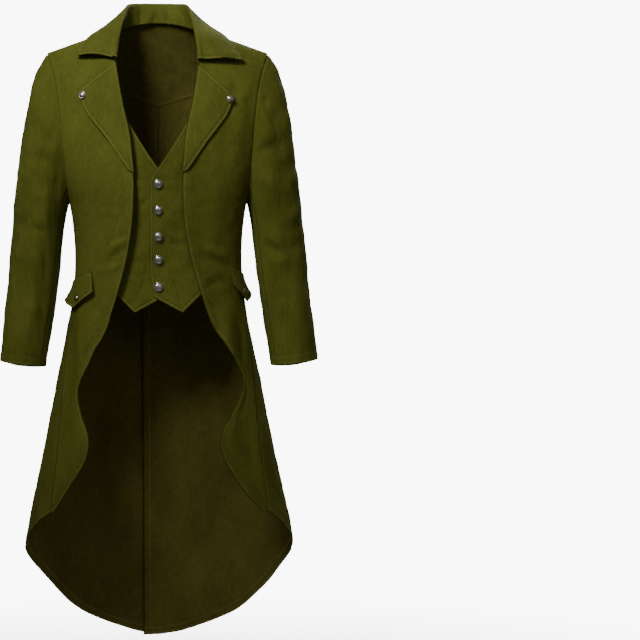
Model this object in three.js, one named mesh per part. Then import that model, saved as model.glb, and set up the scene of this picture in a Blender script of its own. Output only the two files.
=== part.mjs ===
// A tailcoat with attached waistcoat fronts, filled out as worn with no wearer, in millimetres.
// +X is the wearer's left, -Y the front and +Z up. The origin lies midway between the two side
// neck points, on top of the shoulders that hold the coat up. A "drop" is a distance below it.
// The angle round the body is 0 at the centre front, 90 degrees at the side, 180 at the centre back.
import * as THREE from "three";

const { lerp, clamp, smoothstep, degToRad } = THREE.MathUtils;

// ---- Cloth and metal ----
const CLOTH = 2;
const DOUBLED_CLOTH = 2.4;
const SEAM_INSET = 0.2;
const REST_GAP = 0.6;
const TWILL = new THREE.MeshStandardMaterial({ color: 0x4a4d14, roughness: 0.88, metalness: 0 });
const PRESSED_TWILL = new THREE.MeshStandardMaterial({ color: 0x51541a, roughness: 0.85, metalness: 0 });
const PEWTER = new THREE.MeshStandardMaterial({ color: 0x8c8a86, roughness: 0.32, metalness: 1 });

// ---- Body of the coat ----
// Half width at the side, and how far the cloth stands in front of and behind the origin.
// A square of 2 is an ellipse, and more is a boxier section.
const BODY = [
  { drop: 0, halfWidth: 235, front: 64, back: 86, square: 2.35 },
  { drop: 50, halfWidth: 232, front: 76, back: 99, square: 2.35 },
  { drop: 100, halfWidth: 228, front: 87, back: 108, square: 2.35 },
  { drop: 150, halfWidth: 222, front: 95, back: 114, square: 2.35 },
  { drop: 200, halfWidth: 214, front: 106, back: 118, square: 2.35 },
  { drop: 250, halfWidth: 204, front: 112, back: 117, square: 2.35 },
  { drop: 300, halfWidth: 191, front: 113, back: 113, square: 2.35 },
  { drop: 351, halfWidth: 177.5, front: 112, back: 108, square: 2.35 },
  { drop: 410, halfWidth: 169.5, front: 106, back: 98, square: 2.35 },
  { drop: 470, halfWidth: 167, front: 101, back: 92, square: 2.35 },
  { drop: 530, halfWidth: 171.5, front: 104, back: 97, square: 2.3 },
  { drop: 600, halfWidth: 182.5, front: 111, back: 108, square: 2.2 },
  { drop: 690, halfWidth: 201, front: 119, back: 117, square: 2.1 },
  { drop: 780, halfWidth: 219, front: 127, back: 126, square: 2.0 },
  { drop: 880, halfWidth: 239, front: 137, back: 136, square: 2.0 },
  { drop: 964, halfWidth: 256, front: 147, back: 144, square: 2.0 },
  { drop: 1030, halfWidth: 268, front: 154, back: 149, square: 2.0 },
  { drop: 1260, halfWidth: 300, front: 170, back: 165, square: 2.0 },
];
const NECK = { halfWidth: 80, sideY: 8, backReach: 62, napeRise: 14 };
const SHOULDER = { tipX: 221, tipY: 2, slope: 0.36, roll: 165, levelsOutAt: 350 };

// Soft folds pushed out of (or, below zero, into) the cloth, each fading away round its middle.
// The lean is how many degrees the fold drifts round the body in each 100 mm of drop.
const FOLDS = [
  { side: 1, angle: 47, drop: 712, across: 11, down: 48, lean: 0, depth: -9 },
  { side: 1, angle: 33, drop: 826, across: 13, down: 62, lean: 0, depth: 17 },
  { side: -1, angle: 46, drop: 722, across: 11, down: 48, lean: 0, depth: -8 },
  { side: -1, angle: 37, drop: 832, across: 13, down: 62, lean: 0, depth: 13 },
  { side: 1, angle: 64, drop: 660, across: 5, down: 110, lean: -12, depth: 5 },
  { side: -1, angle: 62, drop: 668, across: 5, down: 110, lean: -11, depth: 5 },
  { side: 1, angle: 104, drop: 1120, across: 10, down: 230, lean: 2, depth: 5 },
  { side: -1, angle: 107, drop: 1110, across: 10, down: 240, lean: 2, depth: 8 },
  { side: 1, angle: 133, drop: 1170, across: 9, down: 260, lean: 2, depth: -8 },
  { side: -1, angle: 130, drop: 1180, across: 9, down: 250, lean: 2, depth: -9 },
  { side: 1, angle: 156, drop: 1230, across: 8, down: 270, lean: 1, depth: 9 },
  { side: -1, angle: 159, drop: 1230, across: 8, down: 260, lean: 1, depth: 8 },
];
// Folds in front keep to the front's outline, and from here round to the side they push outwards too.
const FOLD_TURNS_SIDEWAYS = { from: 55, by: 90 };

// ---- Seams and edges ----
const ARMPIT_DROP = 351;
const ARMHOLE = [
  { drop: 50.76, x: 221 },
  { drop: 102, x: 205 },
  { drop: 174, x: 195 },
  { drop: 275, x: 186 },
  { drop: 351, x: 177.5 },
];
// Stations round the armhole, in degrees from the shoulder tip, and the seams that start at them.
const ARMHOLE_STATIONS = [0, 13.5, 27, 40.5, 54, 72, 90, 108, 126, 144, 162, 180];
const YOKE_STATION = 54;
const SLEEVE_BACK_SEAM = { left: 108, right: 90 };
const SLEEVE_FRONT_SEAM = 144;
const SIDE_SEAM = [
  { drop: 351, angle: 90 },
  { drop: 470, angle: 85 },
  { drop: 600, angle: 77 },
  { drop: 731, angle: 68 },
  { drop: 850, angle: 61.5 },
  { drop: 966, angle: 58.5 },
];
const SIDE_SEAM_END = 966;
const YOKE_SEAM = [
  { x: 0, drop: 158 },
  { x: 18, drop: 153 },
  { x: 65, drop: 138 },
  { x: 131, drop: 124 },
  { x: 203, drop: 113 },
];
const HEM = [
  { angle: 58.5, drop: 966 },
  { angle: 66, drop: 982 },
  { angle: 75, drop: 1001 },
  { angle: 90, drop: 1030 },
  { angle: 113, drop: 1087 },
  { angle: 130, drop: 1148 },
  { angle: 148, drop: 1204 },
  { angle: 170, drop: 1248 },
  { angle: 180, drop: 1257 },
];
// Neck side, roll line of the lapel, then the cutaway edge down to the side seam.
const FRONT_EDGE = [
  { drop: 0, left: 80, right: 80 },
  { drop: 33, left: 83, right: 83.5 },
  { drop: 66, left: 83.5, right: 85 },
  { drop: 150, left: 70, right: 71 },
  { drop: 209, left: 57, right: 58 },
  { drop: 275, left: 51, right: 51 },
  { drop: 311, left: 48, right: 48 },
  { drop: 393, left: 52, right: 52 },
  { drop: 482, left: 70, right: 68 },
  { drop: 583, left: 104, right: 99 },
  { drop: 636, left: 136, right: 125 },
  { drop: 690, left: 167, right: 149 },
  { drop: 708, left: 170, right: 157 },
  { drop: 722, left: 168, right: 161 },
  { drop: 740, left: 160, right: 161 },
  { drop: 770, left: 143, right: 154 },
  { drop: 802, left: 126, right: 143 },
  { drop: 828, left: 122, right: 140 },
  { drop: 860, left: 131, right: 147 },
  { drop: 888, left: 147, right: 163 },
  { drop: 930, left: 176, right: 190 },
  { drop: 966, left: 209, right: 212 },
];
const FRONT_LEVELS_BELOW_ARMPIT = [
  393, 438, 482, 530, 575, 610, 640, 668, 690, 708, 724, 742, 762, 784, 806, 828, 850, 872, 896, 922,
  946, 966,
];
const FRONT_COLUMNS = 10;
// Share of the back's half width at which each column runs; the neck side point is at NECK_COLUMN.
const NECK_COLUMN = 0.42;
const BACK_COLUMNS = [0, 0.08, 0.16, 0.24, 0.31, 0.37, 0.42, 0.54, 0.66, 0.78, 0.89, 1];
// Drop at the centre back of the row of a back panel that meets the armpit at its other end.
const BACK_CENTRE_AT_ARMPIT = 400;
const BACK_ROWS_BELOW_ARMPIT = 15;
const YOKE_LEVELS_FROM = 0.9;
// The left back steps in over pressedOver before the vent opens, and its underlap starts narrowOpening wide.
const VENT = { topDrop: 517, underlap: 34, stepIn: 3.2, pressedOver: 45, narrowOpening: 0.002 };
const UNDERLAP_COLUMNS = [-0.1, -0.05];

// ---- Sleeves ----
// Rings from the armhole (0) to the cuff: where the inner (in) and the outer (out) line of the arm pass,
// half the depth from front to back, how far the middle lies behind the origin, and the forward lean.
const SLEEVE = [
  { ring: 0, inX: 177.5, inDrop: 351, outX: 221, outDrop: 50.8, depth: 60, middle: 2, lean: 0 },
  { ring: 1, inX: 179, inDrop: 355, outX: 243, outDrop: 88, depth: 64, middle: 3, lean: 0 },
  { ring: 2, inX: 180.5, inDrop: 360, outX: 256, outDrop: 130, depth: 67, middle: 4, lean: 0 },
  { ring: 3, inX: 182, inDrop: 367, outX: 268, outDrop: 195, depth: 69, middle: 5, lean: 0 },
  { ring: 4, inX: 184, inDrop: 376, outX: 278, outDrop: 265, depth: 69, middle: 6, lean: 0 },
  { ring: 5, inX: 186.5, inDrop: 390, outX: 286, outDrop: 335, depth: 67, middle: 7, lean: 0 },
  { ring: 6, inX: 189.5, inDrop: 414, outX: 293, outDrop: 400, depth: 64, middle: 7, lean: 0.02 },
  { ring: 7, inX: 194, inDrop: 454, outX: 298, outDrop: 448, depth: 61, middle: 5, lean: 0.04 },
  { ring: 8, inX: 198, inDrop: 492, outX: 301.5, outDrop: 488, depth: 58, middle: 0, lean: 0.07 },
  { ring: 9, inX: 203, inDrop: 530, outX: 304.5, outDrop: 526, depth: 55.5, middle: -6, lean: 0.09 },
  { ring: 10, inX: 208.5, inDrop: 567, outX: 308, outDrop: 562, depth: 53, middle: -13, lean: 0.11 },
  { ring: 11, inX: 214.5, inDrop: 604, outX: 311.5, outDrop: 598, depth: 51, middle: -20, lean: 0.12 },
  { ring: 12, inX: 220, inDrop: 640, outX: 315, outDrop: 631, depth: 49.5, middle: -27, lean: 0.12 },
  { ring: 13, inX: 225.5, inDrop: 676, outX: 318, outDrop: 665, depth: 48.5, middle: -34, lean: 0.12 },
];
const CUFF_RING = 13;
const CAP_FADES_AT_RING = 6;
const CUFF_SAG = { depth: 4, fromRing: 11 };
// Soft folds of the sleeves, placed by degrees from the outer line of the arm (the front is below zero).
const SLEEVE_FOLDS = [
  { side: -1, angle: -70, ring: 3.6, across: 26, along: 0.9, depth: -4 },
  { side: -1, angle: -112, ring: 5.1, across: 24, along: 1.1, depth: 5 },
  { side: -1, angle: -60, ring: 9.2, across: 30, along: 1.3, depth: -3 },
  { side: -1, angle: 80, ring: 6.2, across: 28, along: 1.2, depth: -4 },
  { side: 1, angle: -58, ring: 2.6, across: 24, along: 0.9, depth: -4 },
  { side: 1, angle: -96, ring: 3.9, across: 26, along: 0.9, depth: 4 },
  { side: 1, angle: -128, ring: 7.3, across: 24, along: 1.1, depth: -5 },
  { side: 1, angle: -70, ring: 9.4, across: 30, along: 1.2, depth: 4 },
  { side: 1, angle: 84, ring: 6.5, across: 28, along: 1.2, depth: -4 },
];
// The cuff's placket strip lies beside the back seam, and its buttons run down its middle.
const CUFF_PLACKET = { width: 29, fromSeam: 3, topRing: 9.2, clearOfHem: 0.012, columns: 4, rows: 7 };
const CUFF_BUTTON_RINGS = [10.3, 11.38, 12.3];
const CUFF_BUTTON_FROM_SEAM = 18;

// ---- Collar and lapels ----
// Stations from the centre back (0) past the neck side (0.5) to the gorge (1): middle of the fold,
// the fall's edge, and how far the fall bulges between them.
const COLLAR = [
  { at: 0, foldX: 0, foldY: 75, foldZ: 44.5, edgeX: 0, edgeY: 88, edgeZ: 20.5, bulge: 2 },
  { at: 0.17, foldX: 39, foldY: 67, foldZ: 44.5, edgeX: 54, edgeY: 79, edgeZ: 9.5, bulge: 3 },
  { at: 0.33, foldX: 60, foldY: 43, foldZ: 42, edgeX: 84, edgeY: 57, edgeZ: 0.5, bulge: 4 },
  { at: 0.5, foldX: 70, foldY: 7, foldZ: 21, edgeX: 115, edgeY: 16, edgeZ: -8, bulge: 4 },
  { at: 0.63, foldX: 76, foldY: -16, foldZ: 2, edgeX: 131, edgeY: -4, edgeZ: -16.5, bulge: 5 },
  { at: 0.8, foldX: 82, foldY: -42, foldZ: -26, edgeX: 149, edgeY: -25, edgeZ: -35, bulge: 7 },
];
const COLLAR_END = {
  left: { at: 1, foldX: 84.5, foldY: -65.5, foldZ: -63, edgeX: 169, edgeY: -42, edgeZ: -66, bulge: 8 },
  right: { at: 1, foldX: 86, foldY: -64, foldZ: -60, edgeX: 159.5, edgeY: -41, edgeZ: -57, bulge: 8 },
};
const COLLAR_FOLD_RADIUS = 3.2;
const COLLAR_FRONT_CLEARANCE = 2.2;
const COLLAR_STATIONS_A_SIDE = 14;
const COLLAR_NECK_SIDE = 0.5;
// The foot of the stand: where it starts to lift clear of the front, and where it leans forward fully.
const STAND_FOOT = { clearsFrom: 0.38, leansFullyAt: 0.8, leanAtGorge: 0.4, hollow: 0.8 };
// The fall's bulge: which way it points, and its two points between the fold and the edge.
const FALL_BULGE = { outward: 0.4, upward: 0.9, first: 0.33, second: 0.67, secondShare: 0.9 };
const GORGE_DROP = 64;
const LAPEL_ROLL = [
  { at: 0, left: 76, right: 70 },
  { at: 1, left: 287, right: 287 },
];
const LAPEL_EDGE = [
  { at: 0, leftX: 148, leftDrop: 138, rightX: 155, rightDrop: 130 },
  { at: 0.14, leftX: 143, leftDrop: 156, rightX: 148, rightDrop: 150 },
  { at: 0.3, leftX: 134, leftDrop: 176, rightX: 137, rightDrop: 172 },
  { at: 0.5, leftX: 117, leftDrop: 199, rightX: 118, rightDrop: 197 },
  { at: 0.7, leftX: 97, leftDrop: 225, rightX: 97, rightDrop: 224 },
  { at: 0.86, leftX: 78, leftDrop: 252, rightX: 78, rightDrop: 252 },
  { at: 1, leftX: 58, leftDrop: 281, rightX: 58, rightDrop: 281 },
];
// The lapel lies lift off the coat, and rises further towards its free edge near the tip.
const LAPEL = { overhang: 2.4, lift: 3.4, tipLift: 3.6, risesOver: 1.9, settlesBy: 0.7 };
const LAPEL_COLUMNS = 6;
const LAPEL_ROWS = 12;
const LAPEL_STUD = { at: 0.07, across: 0.93 };

// ---- Waistcoat fronts ----
const VEST_EDGE = [
  { drop: 62, x: 106 },
  { drop: 100, x: 101 },
  { drop: 172, x: 66 },
  { drop: 226, x: 35 },
  { drop: 270, x: 6 },
  { drop: 288, x: -8 },
  { drop: 306, x: -15 },
  { drop: 400, x: -15.5 },
  { drop: 500, x: -15 },
  { drop: 540, x: -8 },
];
const VEST_SEWN_EDGE = [
  { drop: 62, x: 132 },
  { drop: 172, x: 134 },
  { drop: 300, x: 138 },
  { drop: 420, x: 134 },
  { drop: 540, x: 132 },
];
const VEST_HEM = [
  { x: -15, drop: 528 },
  { x: 0, drop: 538 },
  { x: 49, drop: 564 },
  { x: 84, drop: 531 },
  { x: 132, drop: 500 },
];
// It stands off the inside of the coat at its free edge, and draws in to its sewn edge.
const VEST = { standOff: 9, sewnOff: 1.7, lap: 3, drawsInFrom: 0.35, hemShapesFrom: 400, bodyDrop: 540 };
const VEST_COLUMNS = 9;
const VEST_LEVELS = [62, 90, 120, 150, 180, 210, 240, 265, 285, 303, 330, 370, 410, 450, 480, 510, 540];
const VEST_BUTTON_DROPS = [309, 361, 414, 460, 514];

// ---- Pocket flaps and half belt ----
// Where the flap's seam starts and ends round the body, and how far its inner edge slants back at the hem.
const FLAP_SEAM = {
  left: { fromAngle: 56, toAngle: 89, drop: 474, slant: 0 },
  right: { fromAngle: 49.5, toAngle: 85.5, drop: 485, slant: -4.5 },
};
const FLAP_HEM = [
  { along: 0, drop: 39 },
  { along: 0.5, drop: 62 },
  { along: 1, drop: 38 },
];
// The flap stands lift off the coat at its seam, and flares out to its hem, most at the outer end.
const FLAP = { slope: 24, lift: 3.6, flare: 12, flareCurve: 1.4, innerFlare: 0.55, columns: 6, rows: 4 };
const FLAP_BUTTON_AT = { along: 0.41, down: 0.75 };
const BELT = { halfLength: 82, halfDepth: 15.8, middleDrop: 424, endRise: 12, lift: 3.2 };
const BELT_POINT = { length: 7, sharpness: 8 };
const BELT_COLUMNS = 14;
const BELT_ROWS = 3;
const BELT_BUTTON = { leftX: 64, rightX: 61, aboveMiddle: 0.1 };

// ---- Buttons ----
const BUTTON_DIAMETER = { vest: 18, lapel: 14, flap: 12, belt: 14.5, cuff: 13.5 };
const BUTTON_SEGMENTS = 12;
// Half section of a button as shares of its radius, from its foot over the shank and rim to its crown.
const BUTTON_PROFILE = [
  { out: 0, up: 0 },
  { out: 0.3, up: 0 },
  { out: 0.3, up: 0.24 },
  { out: 0.86, up: 0.26 },
  { out: 1, up: 0.38 },
  { out: 0.84, up: 0.52 },
  { out: 0.45, up: 0.66 },
  { out: 0, up: 0.7 },
];

// Small steps for working out directions along a surface.
const GRID_NUDGE = 1e-5;
const COLLAR_NUDGE = 0.01;
const NUDGE = 1e-3;
const YOKE_SEAM_ROUNDS = 12;

// The row of a table that a value follows, and its share of the way to the next row.
function placeIn(rows, key, value) {
  let i = 0;
  while (i < rows.length - 2 && value > rows[i + 1][key]) {
    i += 1;
  }
  const span = rows[i + 1][key] - rows[i][key];
  return { i, span, t: clamp((value - rows[i][key]) / span, 0, 1) };
}

// A smooth curve through one column of a table, held level past its ends.
function through(rows, key, column) {
  const slopes = rows.map((row, i) => {
    const before = rows[Math.max(i - 1, 0)];
    const after = rows[Math.min(i + 1, rows.length - 1)];
    return (after[column] - before[column]) / (after[key] - before[key]);
  });
  return (value) => {
    const { i, span, t } = placeIn(rows, key, value);
    const start = rows[i][column] * (1 + 2 * t) * (1 - t) * (1 - t);
    const end = rows[i + 1][column] * t * t * (3 - 2 * t);
    const bend = slopes[i] * t * (1 - t) * (1 - t) - slopes[i + 1] * t * t * (1 - t);
    return start + end + bend * span;
  };
}

// Straight lines through one column of a table, for edges with true corners.
function along(rows, key, column) {
  return (value) => {
    const { i, t } = placeIn(rows, key, value);
    return lerp(rows[i][column], rows[i + 1][column], t);
  };
}

const steps = (count) => Array.from({ length: count + 1 }, (_, i) => i / count);
const sideName = (side) => (side > 0 ? "left" : "right");

const halfWidth = through(BODY, "drop", "halfWidth");
const frontDepth = through(BODY, "drop", "front");
const backDepth = through(BODY, "drop", "back");
const squareness = through(BODY, "drop", "square");

// The point of the shoulder line from which the cloth at a given x hangs.
function shoulderCrest(x) {
  const beyond = Math.max(0, x - NECK.halfWidth);
  const share = beyond / (SHOULDER.tipX - NECK.halfWidth);
  return { x, y: lerp(NECK.sideY, SHOULDER.tipY, share), z: -SHOULDER.slope * beyond };
}

// The point of the neckline or shoulder line from which a column of the back hangs.
function backCrest(column) {
  if (column >= NECK_COLUMN) {
    const share = (column - NECK_COLUMN) / (1 - NECK_COLUMN);
    return shoulderCrest(lerp(NECK.halfWidth, SHOULDER.tipX, share));
  }
  const turn = (Math.PI / 2) * (Math.max(0, column) / NECK_COLUMN);
  const cosine = Math.cos(turn);
  return {
    x: NECK.halfWidth * Math.sin(turn),
    y: NECK.sideY + NECK.backReach * cosine,
    z: NECK.napeRise * cosine * cosine,
  };
}

function foldDepth(side, degrees, drop) {
  return FOLDS.filter((fold) => fold.side === side).reduce((sum, fold) => {
    const middle = fold.angle + (fold.lean * (drop - fold.drop)) / 100;
    const across = (degrees - middle) / fold.across;
    const down = (drop - fold.drop) / fold.down;
    return sum + fold.depth * Math.exp(-across * across - down * down);
  }, 0);
}

// A point of the filled-out coat body, at an angle round it and a drop below the shoulder line.
function bodyPoint(side, degrees, drop, crest) {
  const angle = degToRad(degrees);
  const power = 2 / squareness(drop);
  const x = halfWidth(drop) * Math.pow(Math.abs(Math.sin(angle)), power);
  const hangsFrom = crest || shoulderCrest(x);
  const reach = Math.pow(Math.abs(Math.cos(angle)), power);
  const depth = degrees > 90 ? backDepth(drop) * reach : -frontDepth(drop) * reach;
  const open = drop < SHOULDER.roll ? Math.sqrt(1 - (1 - drop / SHOULDER.roll) ** 2) : 1;
  const level = Math.max(0, 1 - drop / SHOULDER.levelsOutAt);
  const fold = foldDepth(side, degrees, drop);
  const sideways = smoothstep(degrees, FOLD_TURNS_SIDEWAYS.from, FOLD_TURNS_SIDEWAYS.by) * Math.sin(angle);
  return new THREE.Vector3(
    side * (x + fold * sideways),
    lerp(hangsFrom.y, depth, open) - fold * Math.cos(angle),
    hangsFrom.z * level - drop,
  );
}

// The drop, along the cloth, of a point at height z that hangs from the crest.
function dropOf(crest, z) {
  const drop = (crest.z - z) / (1 + crest.z / SHOULDER.levelsOutAt);
  return drop < SHOULDER.levelsOutAt ? drop : -z;
}

// The angle round the body at which the cloth passes x.
function angleOf(x, drop, atBack) {
  const sine = Math.pow(clamp(Math.abs(x) / halfWidth(drop), 0, 1), squareness(drop) / 2);
  const degrees = THREE.MathUtils.radToDeg(Math.asin(sine));
  return atBack ? 180 - degrees : degrees;
}

const armholeX = through(ARMHOLE, "drop", "x");
const TIP_CREST = shoulderCrest(SHOULDER.tipX);

// Angle and drop on the body of each armhole station, on the front or the back half of the loop.
function armholeRow(station, atBack) {
  const share = (1 + Math.cos(degToRad(station))) / 2;
  const z = lerp(-ARMPIT_DROP, TIP_CREST.z, share);
  const x = armholeX(-z);
  const drop = dropOf(atBack ? TIP_CREST : shoulderCrest(x), z);
  return { station, drop, angle: angleOf(x, drop, atBack) };
}

const armholeFront = ARMHOLE_STATIONS.map((station) => armholeRow(station, false));
const armholeBack = ARMHOLE_STATIONS.map((station) => armholeRow(station, true));

function armholePoint(side, degrees) {
  const atBack = degrees > 0;
  const row = armholeRow(Math.abs(degrees), atBack);
  return bodyPoint(side, row.angle, row.drop, atBack ? TIP_CREST : undefined);
}

// ---- Walls of cloth ----

// A closed wall of cloth whose outer face is surface(u, v) over the given columns and rows.
// facing is 1 where the cross product of the u and v directions points out, and -1 where it points in.
// trim holds how far each edge is drawn back along the cloth: first and last column, first and last row.
// keepX is the side to which the first row's inner edge isn't offset, so that it stays outside the armhole.
const UNTRIMMED = [0, 0, 0, 0];
function clothWall(surface, columns, rows, { thickness = CLOTH, facing = 1, trim = UNTRIMMED, keepX = 0 }) {
  const outer = [];
  const inner = [];
  const [firstColumnTrim, lastColumnTrim, firstRowTrim, lastRowTrim] = trim;
  const firstColumn = columns[0];
  const lastColumn = columns[columns.length - 1];
  const firstRow = rows[0];
  const lastRow = rows[rows.length - 1];
  const columnStep = (lastColumn - firstColumn) * GRID_NUDGE;
  const rowStep = (lastRow - firstRow) * GRID_NUDGE;
  rows.forEach((v) => {
    columns.forEach((u) => {
      const point = surface(u, v);
      const acrossCloth = surface(Math.min(u + columnStep, lastColumn), v)
        .sub(surface(Math.max(u - columnStep, firstColumn), v))
        .normalize();
      const downCloth = surface(u, Math.min(v + rowStep, lastRow))
        .sub(surface(u, Math.max(v - rowStep, firstRow)))
        .normalize();
      const normal = acrossCloth.clone().cross(downCloth).normalize().multiplyScalar(facing);
      if (v === firstRow && normal.x * keepX > 0) {
        normal.setX(0).normalize();
      }
      point.addScaledVector(acrossCloth, u === firstColumn ? firstColumnTrim : 0);
      point.addScaledVector(acrossCloth, u === lastColumn ? -lastColumnTrim : 0);
      point.addScaledVector(downCloth, v === firstRow ? firstRowTrim : 0);
      point.addScaledVector(downCloth, v === lastRow ? -lastRowTrim : 0);
      outer.push(point);
      inner.push(point.clone().addScaledVector(normal, -thickness));
    });
  });
  return wallBetween(outer, inner, columns.length, rows.length, facing);
}

// The closed mesh between two grids of points, with a rim all round.
function wallBetween(outer, inner, columnCount, rowCount, facing) {
  const inside = outer.length;
  const triangles = [];
  const at = (i, j) => j * columnCount + i;
  for (let j = 0; j < rowCount - 1; j += 1) {
    for (let i = 0; i < columnCount - 1; i += 1) {
      const [a, b, c, d] = [at(i, j), at(i + 1, j), at(i + 1, j + 1), at(i, j + 1)];
      triangles.push([a, b, c], [a, c, d]);
      triangles.push([inside + a, inside + c, inside + b], [inside + a, inside + d, inside + c]);
    }
  }
  const acrossRim = steps(columnCount - 1).map((share) => Math.round(share * (columnCount - 1)));
  const downRim = steps(rowCount - 1).map((share) => Math.round(share * (rowCount - 1)));
  const rim = [
    ...acrossRim.slice(0, -1).map((i) => at(i, 0)),
    ...downRim.slice(0, -1).map((j) => at(columnCount - 1, j)),
    ...acrossRim.slice(1).reverse().map((i) => at(i, rowCount - 1)),
    ...downRim.slice(1).reverse().map((j) => at(0, j)),
  ];
  rim.forEach((a, i) => {
    const b = rim[(i + 1) % rim.length];
    triangles.push([b, a, inside + a], [b, inside + a, inside + b]);
  });
  const geometry = new THREE.BufferGeometry().setFromPoints([...outer, ...inner]);
  geometry.setIndex(triangles.flatMap(([a, b, c]) => (facing > 0 ? [a, b, c] : [a, c, b])));
  geometry.computeVertexNormals();
  return geometry;
}

// The direction that a surface faces at (u, v).
function normalOf(surface, u, v, facing) {
  const acrossCloth = surface(u + NUDGE, v).sub(surface(u - NUDGE, v));
  const downCloth = surface(u, v + NUDGE).sub(surface(u, v - NUDGE));
  return acrossCloth.cross(downCloth).normalize().multiplyScalar(facing);
}

// A surface moved out along its own normal by lift(u, v).
function raised(surface, lift, facing) {
  return (u, v) => surface(u, v).addScaledVector(normalOf(surface, u, v, facing), lift(u, v));
}

const coat = new THREE.Group();

function addPiece(name, geometry, material) {
  const mesh = new THREE.Mesh(geometry, material);
  mesh.name = name;
  coat.add(mesh);
  return mesh;
}

// ---- Coat fronts ----

const frontEdgeX = {
  left: through(FRONT_EDGE, "drop", "left"),
  right: through(FRONT_EDGE, "drop", "right"),
};
const armholeAngle = {
  front: through(armholeFront, "drop", "angle"),
  back: through(armholeBack, "drop", "angle"),
};
const sideSeamAngle = through(SIDE_SEAM, "drop", "angle");

function frontSurface(side) {
  const edgeX = frontEdgeX[sideName(side)];
  return (share, drop) => {
    const inner = angleOf(edgeX(drop), drop, false);
    const outer = drop < ARMPIT_DROP ? armholeAngle.front(drop) : sideSeamAngle(drop);
    return bodyPoint(side, lerp(inner, outer, share), drop);
  };
}

// The coat front at a given x and height, for what lies on it.
function onFront(side, x, z) {
  const drop = dropOf(shoulderCrest(Math.abs(x)), z);
  return bodyPoint(Math.sign(x) || side, angleOf(x, drop, false), drop);
}

function addFront(side) {
  const levels = [...armholeFront.map((row) => row.drop), ...FRONT_LEVELS_BELOW_ARMPIT];
  const geometry = clothWall(frontSurface(side), steps(FRONT_COLUMNS), levels, {
    facing: -side,
    trim: [0, SEAM_INSET, SEAM_INSET, 0],
  });
  addPiece(`front_${sideName(side)}`, geometry, TWILL);
}

// ---- Back yoke and back panels ----

const yokeRow = armholeBack.find((row) => row.station === YOKE_STATION);
const yokeSeamDrop = through(YOKE_SEAM, "x", "drop");

// Angle and drop of the yoke seam under each column of the back.
function yokeSeam(column) {
  const share = Math.abs(column);
  const angle = lerp(180, yokeRow.angle, share);
  const crest = backCrest(share);
  let drop = yokeRow.drop;
  for (let round = 0; round < YOKE_SEAM_ROUNDS; round += 1) {
    const x = Math.abs(bodyPoint(1, angle, drop, crest).x);
    drop = dropOf(crest, -yokeSeamDrop(x));
  }
  return { angle, drop: lerp(drop, yokeRow.drop, smoothstep(share, YOKE_LEVELS_FROM, 1)) };
}

function yokeSurface(column, share) {
  const side = column < 0 ? -1 : 1;
  const crest = backCrest(Math.abs(column));
  const seam = yokeSeam(column);
  const drop = seam.drop * share;
  const topAngle = angleOf(crest.x, 0, true);
  const tipAngle = angleOf(SHOULDER.tipX, 0, true);
  const onArmhole = armholeAngle.back(yokeRow.drop * share) - lerp(tipAngle, yokeRow.angle, share);
  const angle = lerp(topAngle, seam.angle, share) + onArmhole * Math.abs(column) ** 4;
  return bodyPoint(side, angle, drop, crest);
}

function addYoke() {
  const columns = [...BACK_COLUMNS.slice(1).reverse().map((column) => -column), ...BACK_COLUMNS];
  const rows = armholeBack.filter((row) => row.station <= YOKE_STATION).map((row) => row.drop / yokeRow.drop);
  const trim = [SEAM_INSET, SEAM_INSET, SEAM_INSET, SEAM_INSET];
  addPiece("back_yoke", clothWall(yokeSurface, columns, rows, { facing: 1, trim }), TWILL);
}

// Rows of a back panel, numbered from the yoke seam: their drop at the centre back and at the side.
function backRowTable() {
  const byArmhole = armholeBack.filter((row) => row.station >= YOKE_STATION);
  const armpitRow = byArmhole.length - 1;
  const seam = yokeSeam(0);
  const tail = HEM[HEM.length - 1].drop;
  const rows = byArmhole.map((row, i) => ({
    row: i,
    side: row.drop,
    centre: lerp(seam.drop, BACK_CENTRE_AT_ARMPIT, i / armpitRow),
  }));
  steps(BACK_ROWS_BELOW_ARMPIT)
    .slice(1)
    .forEach((share, i) => {
      rows.push({
        row: armpitRow + 1 + i,
        side: lerp(ARMPIT_DROP, SIDE_SEAM_END, share),
        centre: lerp(BACK_CENTRE_AT_ARMPIT, tail, share),
      });
    });
  return { rows, armpitRow };
}

const backTable = backRowTable();
const backSideDrop = along(backTable.rows, "row", "side");
const backCentreDrop = along(backTable.rows, "row", "centre");
const lastBackRow = backTable.rows.length - 1;
const hemDrop = through(HEM, "angle", "drop");

function backCoordinates(column, row) {
  const sideDrop = backSideDrop(row);
  const sideAngle = row < backTable.armpitRow ? armholeAngle.back(sideDrop) : sideSeamAngle(sideDrop);
  const angle = lerp(180, sideAngle, column);
  const seam = yokeSeam(column);
  const fromSeam = seam.drop - lerp(backCentreDrop(0), backSideDrop(0), column);
  const hemAngle = lerp(180, SIDE_SEAM[SIDE_SEAM.length - 1].angle, column);
  const fromHem = hemDrop(hemAngle) - lerp(backCentreDrop(lastBackRow), SIDE_SEAM_END, column);
  const nearSeam = Math.max(0, 1 - row / backTable.armpitRow) ** 2;
  const nearHem = smoothstep(row, backTable.armpitRow, lastBackRow);
  const drop = lerp(backCentreDrop(row), sideDrop, column) + fromSeam * nearSeam + fromHem * nearHem;
  return { angle, drop };
}

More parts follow.
